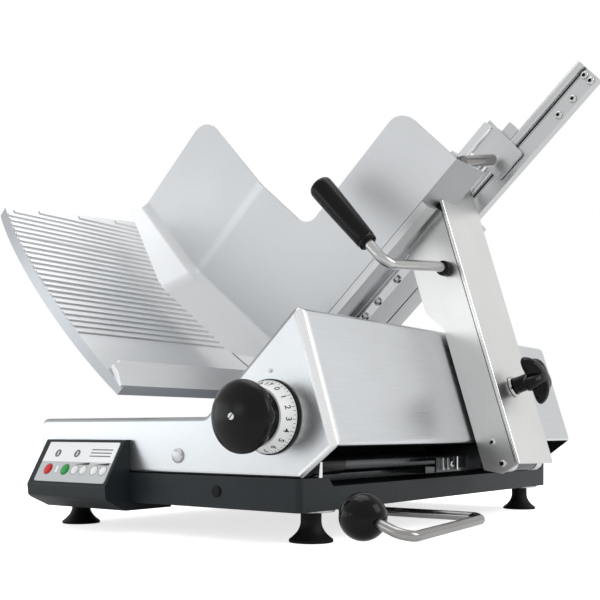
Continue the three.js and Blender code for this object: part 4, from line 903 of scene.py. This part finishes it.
def build_panel_printing():
    """The light upper field, and generic discs, lines and wedges round the buttons."""
    field = box_outline(FOIL_LEFT, FIELD_LOW, FOIL_RIGHT, FIELD_TOP)
    prints = [printed("upper_field", field, "foil_white", 0.03)]
    for x in DISC_PLACES:
        prints.append(printed(f"icon_disc_{x}", ring_outline(x, DISC_ROW, DISC_RADIUS), "print_grey"))
        half, tall = DISC_BAR
        bar = box_outline(x - half, DISC_ROW - tall, x + half, DISC_ROW + tall)
        prints.append(printed(f"icon_bar_{x}", bar, "foil_white", 0.08))
    for k in range(3):
        low = LINE_LOW + LINE_STEP * k
        line = box_outline(LINE_LEFT, low, LINE_RIGHT, low + LINE_HEIGHT)
        prints.append(printed(f"level_{k}", line, "print_grey"))
    for name, x, radius, material in BUTTONS:
        prints.append(printed(name + "_rim", ring_outline(x, BUTTON_ROW, radius + 2.1), "print_black", 0.04))
        prints.append(printed(name + "_disc", ring_outline(x, BUTTON_ROW, radius + 1.5), material, 0.08))
    for left, right in WEDGES:
        wedge = ((left, WEDGE_LOW), (right, WEDGE_LOW), (right, WEDGE_TOP))
        prints.append(printed(f"wedge_{left}", wedge, "print_black"))
    prints.append(printed("stop_bar", box_outline(-363, 17, -359.6, 26), "foil_white"))
    declare(joined("panel_printing", prints), "base", "grey_foil")


def build_panel():
    softened("panel_box", "anthracite", 1.0)
    softened("panel_face", "foil_grey", 0)
    build_panel_printing()
    for name, x, radius, material in BUTTONS:
        profile = [(0, -3.8), (radius - 0.2, -3.8), (radius, -3.4), (radius, 1.9), (radius - 0.5, 2.5),
                   (radius - 1.2, 2.75), (0, 2.5)]
        cap = turned(name + "_cap", profile, at(PANEL, x, BUTTON_ROW, 0), material, 40)
        stands_for(cap, name)


# ---------- lift lever ----------


def build_lift_lever():
    route = [(-52, 150, 30), (128, 150, 30), (146, 124, 30), (160, -50, 27), (122, -38, 37)]
    bar = rod("lift_bent_bar", route, 5.2, MACHINE, "bar", 14)
    cam_outline = [(148, 24), (174, 24), (179, 27, 2), (179, 33, 2), (174, 36), (148, 36)]
    cam = prism("lift_cam", cam_outline, -46, -34, MACHINE @ SIDE_ON, "aluminium", 0.8)
    stands_for(joined("lift_lever_bar", [bar, cam]), "lift_rod")
    radius = 23.5
    profile = [(0, -radius), *arc(0, 0, radius, -86, 86, 43), (0, radius)]
    ball = turned("lift_ball_grip", profile, at(MACHINE, 100, -32, 42), "black", 72)
    stands_for(ball, "lift_ball")
    softened("lever_bearing", "aluminium", 0.6)


# ---------- carriage ----------


def post_rounding(centre, _direction, bend):
    """A wide one on the fold between the post's front and right sheets."""
    here = in_system(POST, centre)
    right_fold = abs(here.x - POST_FACE_P) < 1.2 and abs(here.y - POST_FRONT_Y) < 0.5
    return 2.2 if right_fold and bend > 0.5 else None


def build_post():
    softened("post_cover", "post", 0.4, post_rounding, 4)
    # A painted highlight and a painted dark line of shade run along the fold between the post's front and right
    # sheets.
    fold = rod("post_fold_painted_highlight", [(126.8, 308.3, 48), (126.8, 308.3, 406)], 2.5, POST, "bright", 0, 20)
    line = rod("post_fold_painted_shade_line", [(124.4, 306.3, 50), (124.4, 306.3, 404)], 0.6, POST, "painted_dark_line", 0, 12)
    declare(joined("post_fold", [fold, line]), "carriage", "aluminium")
    head_y = POST_FRONT_Y - 0.1
    upper = socket_screw("post_upper_screw", 4.3, at(POST, 102.8, head_y, 83) @ TO_FRONT, 2.6)
    lower = socket_screw("post_pivot_end", 4.6, at(POST, PIVOT_P, head_y, PIVOT_Q) @ TO_FRONT, 2.2)
    declare(joined("post_fasteners", [upper, lower]), "carriage", "bright")
    softened("carriage_arm", "aluminium", 0.6)
    # The slide block is drawn in darkened steel, as painted shade of the recess.
    softened("slide_block", "shade_darkened_steel", 0.8)


def tray_rounding(centre, direction, bend):
    """A wide one on the folds: the flange's along the wall, and the one between the wall's two parts."""
    here = in_system(FEED, centre)
    folded = math.radians(12) < bend < math.radians(75) and abs(direction.z) > 0.05
    at_flange = abs(here.x - TRAY_FOLD_U) < 3
    at_wall = abs(here.z - TRAY_FOLD_W) < 6
    return 9 if folded and (at_flange or at_wall) else None


def on_cut_edge(place, normal):
    return abs(normal.y) < 0.12 and place.z > TRAY_LOW_W


def under_floor(place, normal):
    return normal.z < -0.8 and place.z < TRAY_LOW_W


def build_tray():
    tray = softened("tray_sheet", "tray", 0.3, tray_rounding, 4, clamp=False)
    # The sheet's cut edges are painted near black, as a dark line of shade along them.
    paint_faces(tray, "painted_dark_line", FEED, on_cut_edge)
    # Painted shade: the floor's downward faces take the darker steel.
    paint_faces(tray, "shade_painted_steel", FEED, under_floor)
    softened("tray_profile", "rail", 0.5)
    # The CAD's floor stops short behind the tray's upright end.
    floor_end = slab("tray_floor_end", (275.1, 302.8, 316.9), (341.8, 346.8, 318.9), FEED, "tray", 0.3)
    # Its downward faces take the same painted shade.
    paint_faces(floor_end, "shade_painted_steel", FEED, under_floor)
    declare(floor_end, "carriage", "stainless")


def build_underside():
    """The joining strip under the tray's bottom profile, and its bolts."""
    strip = slab("tray_joint_strip", (60, 318, 301.5), (272, 341, 304.3), FEED, "bright", 0.5)
    bolts = []
    for u in (92, 121, 163, 215):
        bolts.append(socket_screw(f"tray_bolt_{u}", 6.2, at(FEED, u, 329.5, 301.4) @ DOWN, 4))
    declare(joined("tray_joint", [strip, *bolts]), "carriage", "aluminium")


def build_rail():
    softened("rail", "rail", 0.4)
    heads = []
    for k, (u, w) in enumerate(((505.4, 340.2), (505.4, 328.2), (475.4, 330.5), (449.2, 330.5))):
        heads.append(socket_screw(f"rail_screw_{k}", 5.2, at(FEED, u, 423.8, w) @ TO_FRONT, 3.4))
    declare(joined("rail_screws", heads), "carriage", "bright")
    low, high = (70, 345.2, -423.9), (513.6, 347.4, -423.2)
    groove = slab("rail_shadow_groove", low, high, FEED @ TO_FRONT, "painted_dark_line", 0)
    declare(groove, "carriage", "aluminium")


def build_handle():
    low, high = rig.box("handle_bush")
    start = in_system(MACHINE, (low + high) / 2)
    bush = [(6.4, 0.3), (9.3, 0.3), (9.8, 0.8), (9.8, 10.6), (9.2, 12.4), (8.2, 13), (6.4, 13), (6.4, 0.3)]
    seat = at(MACHINE, start.x, POST_FRONT_Y, start.z) @ TO_FRONT
    stands_for(turned("handle_rubber_bush", bush, seat, "satin_black", 40), "handle_bush")
    # The rod leaves the post level, and bends up to stand square to the tray.
    corner = in_system(MACHINE, FEED @ Vector((HANDLE_U, HANDLE_Y, 233)))
    top = in_system(MACHINE, FEED @ Vector((HANDLE_U, HANDLE_Y, GRIP_W)))
    route = [(8, 305.7, 335), (8, 279, 335), corner, top]
    stands_for(rod("handle_bent_rod", route, 6.4, MACHINE, "chrome", 16), "handle_rod")
    profile = [(0, 0), (9.6, 0), (11.2, 0.8), (11.5, 2), (11.5, 4.4), (10.9, 5.2), (11.9, 6.2), (12.2, 8),
               (12.9, 24), (13.7, 44), (14.4, 62), (14.9, 80), (15.2, 94), (15.3, 102), (15.1, 104.8),
               (14.3, 106.8), (13, 107.8), (11.6, 108), (0, 108)]
    grip = turned("handle_black_grip", profile, at(FEED, HANDLE_U, HANDLE_Y, GRIP_W + 0.3), "black", 64)
    stands_for(grip, "handle_grip")


KNOB_LOBES = 5
KNOB_HUB = 12  # radius where the hollows between the lobes begin. They are full at twice this
KNOB_HOLLOW = 13.5


def lobes(angle, radius, _height):
    share = min(1.0, max(0.0, (radius - KNOB_HUB) / KNOB_HUB))
    wave = 0.5 - 0.5 * math.cos(KNOB_LOBES * angle)
    return radius - share * KNOB_HOLLOW * wave ** 1.4


def build_clamp_knob():
    axis = at(POST, POST_FACE_P, 355, 149) @ TO_RIGHT
    washer = [(0, 0.3), (13.4, 0.3), (14, 0.9), (14, 2.4), (12.8, 3.8), (0, 3.8)]
    stands_for(turned("clamp_steel_washer", washer, axis, "chrome", 48), "clamp_washer")
    profile = [(0, 4.1), (10.4, 4.1), (11, 4.8), (10.6, 12), (10.8, 20), (11.8, 26), (13.5, 30), (17, 32.6),
               (22, 33), (26.5, 31.2), (30, 28.6), (32, 28), (33.3, 29.2), (33.5, 31.4), (32.4, 34.6),
               (29.6, 38.6), (25.4, 42.2), (20, 45), (14, 46.8), (7, 47.8), (0, 48)]
    stands_for(turned("clamp_star_knob", profile, axis, "black", 120, lobes, 70), "clamp_knob")


# ---------- remnant holder ----------


def build_holder():
    softened("remnant_slider", "rail", 0.5)
    softened("remnant_arm", "aluminium", 0.5)
    bar = [(351.5, 405, 353.2), (334.5, 330, 343.8)]
    lift = rod("holder_lift_tube", bar, 7.4, FEED, "bar", 0, 40)
    declare(lift, "holder", "aluminium")
    lip = slab("slider_lip", (318.5, 415.4, 393.5), (379, 418.2, 407.4), FEED, "aluminium", 0.6)
    # A painted highlight along the lip's fold.
    fold = rod("slider_fold_painted_highlight", [(327, 416.6, 394), (377, 416.6, 394)], 2.1, FEED, "bright", 0, 16)
    declare(joined("slider_folded_lip", [lip, fold]), "holder_slider", "aluminium")
    softened("remnant_pusher", "aluminium", 0.4)


# ---------- gauge plate and knife ----------

RIBS = 22  # of the CAD plate
EXTRA_RIBS = 5
RIB_FIRST_W, RIB_PITCH = 400, 10.6
RIB_FOOT, RIB_CREST = 4.3, 2.2  # half widths
RIB_FOOT_U, RIB_CREST_U = -76, -73.05
RIB_START_Y, RIB_END_Y = -8, 299.4
# The plate's top edge rises from this place by its slope per unit of Y.
EDGE_Y, EDGE_W, EDGE_SLOPE = -9, 643, 0.1395
EDGE_MARGIN = 5.8  # between a rib's middle and that edge


def on_plate_edge(place, normal):
    return abs(normal.x) < 0.3 and place.x < -74


def build_top_ribs():
    """The triangle above the CAD plate's own ribs is ribbed too, up to its sloping top edge."""
    ribs = []
    for k in range(RIBS, RIBS + EXTRA_RIBS):
        w = RIB_FIRST_W + RIB_PITCH * k
        start = max(RIB_START_Y, EDGE_Y + (w + EDGE_MARGIN - EDGE_W) / EDGE_SLOPE)
        section = ((RIB_FOOT_U, w - RIB_FOOT), (RIB_CREST_U, w - RIB_CREST),
                   (RIB_CREST_U, w + RIB_CREST), (RIB_FOOT_U, w + RIB_FOOT))
        ribs.append(prism(f"gauge_rib_{k}", section, -RIB_END_Y, -start, FEED @ TO_FRONT, "gauge", 0.3))
    declare(joined("gauge_top_ribs", ribs), "gauge", "aluminium")


def build_gauge():
    plate = softened("gauge_plate", "gauge", 0.5)
    # The plate's side edges are painted darker, as shade.
    paint_faces(plate, "plate_edge_painted_shade", FEED, on_plate_edge)
    build_top_ribs()
    softened("gauge_carrier", "aluminium", 0.5)
    softened("gauge_guide", "anthracite", 0.6)


def build_knife():
    softened("knife", "knife", 0.2)
    softened("knife_cover", "cover", 0.8)
    softened("knife_guard", "cover", 0.6)
    softened("slice_deflector", "housing", 0.3)
    softened("slice_tray", "housing", 0.5)
    softened("knife_housing", "aluminium", 0.8)
    softened("knife_spindle", "anthracite", 0.5)


build_stage()
build_world()
build_lights()
build_feet()
build_plinth()
build_housing()
build_guide()
build_block_fittings()
build_dial()
build_panel()
build_lift_lever()
build_post()
build_tray()
build_underside()
build_rail()
build_handle()
build_clamp_knob()
build_holder()
build_gauge()
build_knife()

with open("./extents.json", "r+") as size_file:
    sizes = json.load(size_file)
    sizes["visual"] = [list(corner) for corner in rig.bounds()]
    size_file.seek(0)
    json.dump(sizes, size_file)
    size_file.truncate()
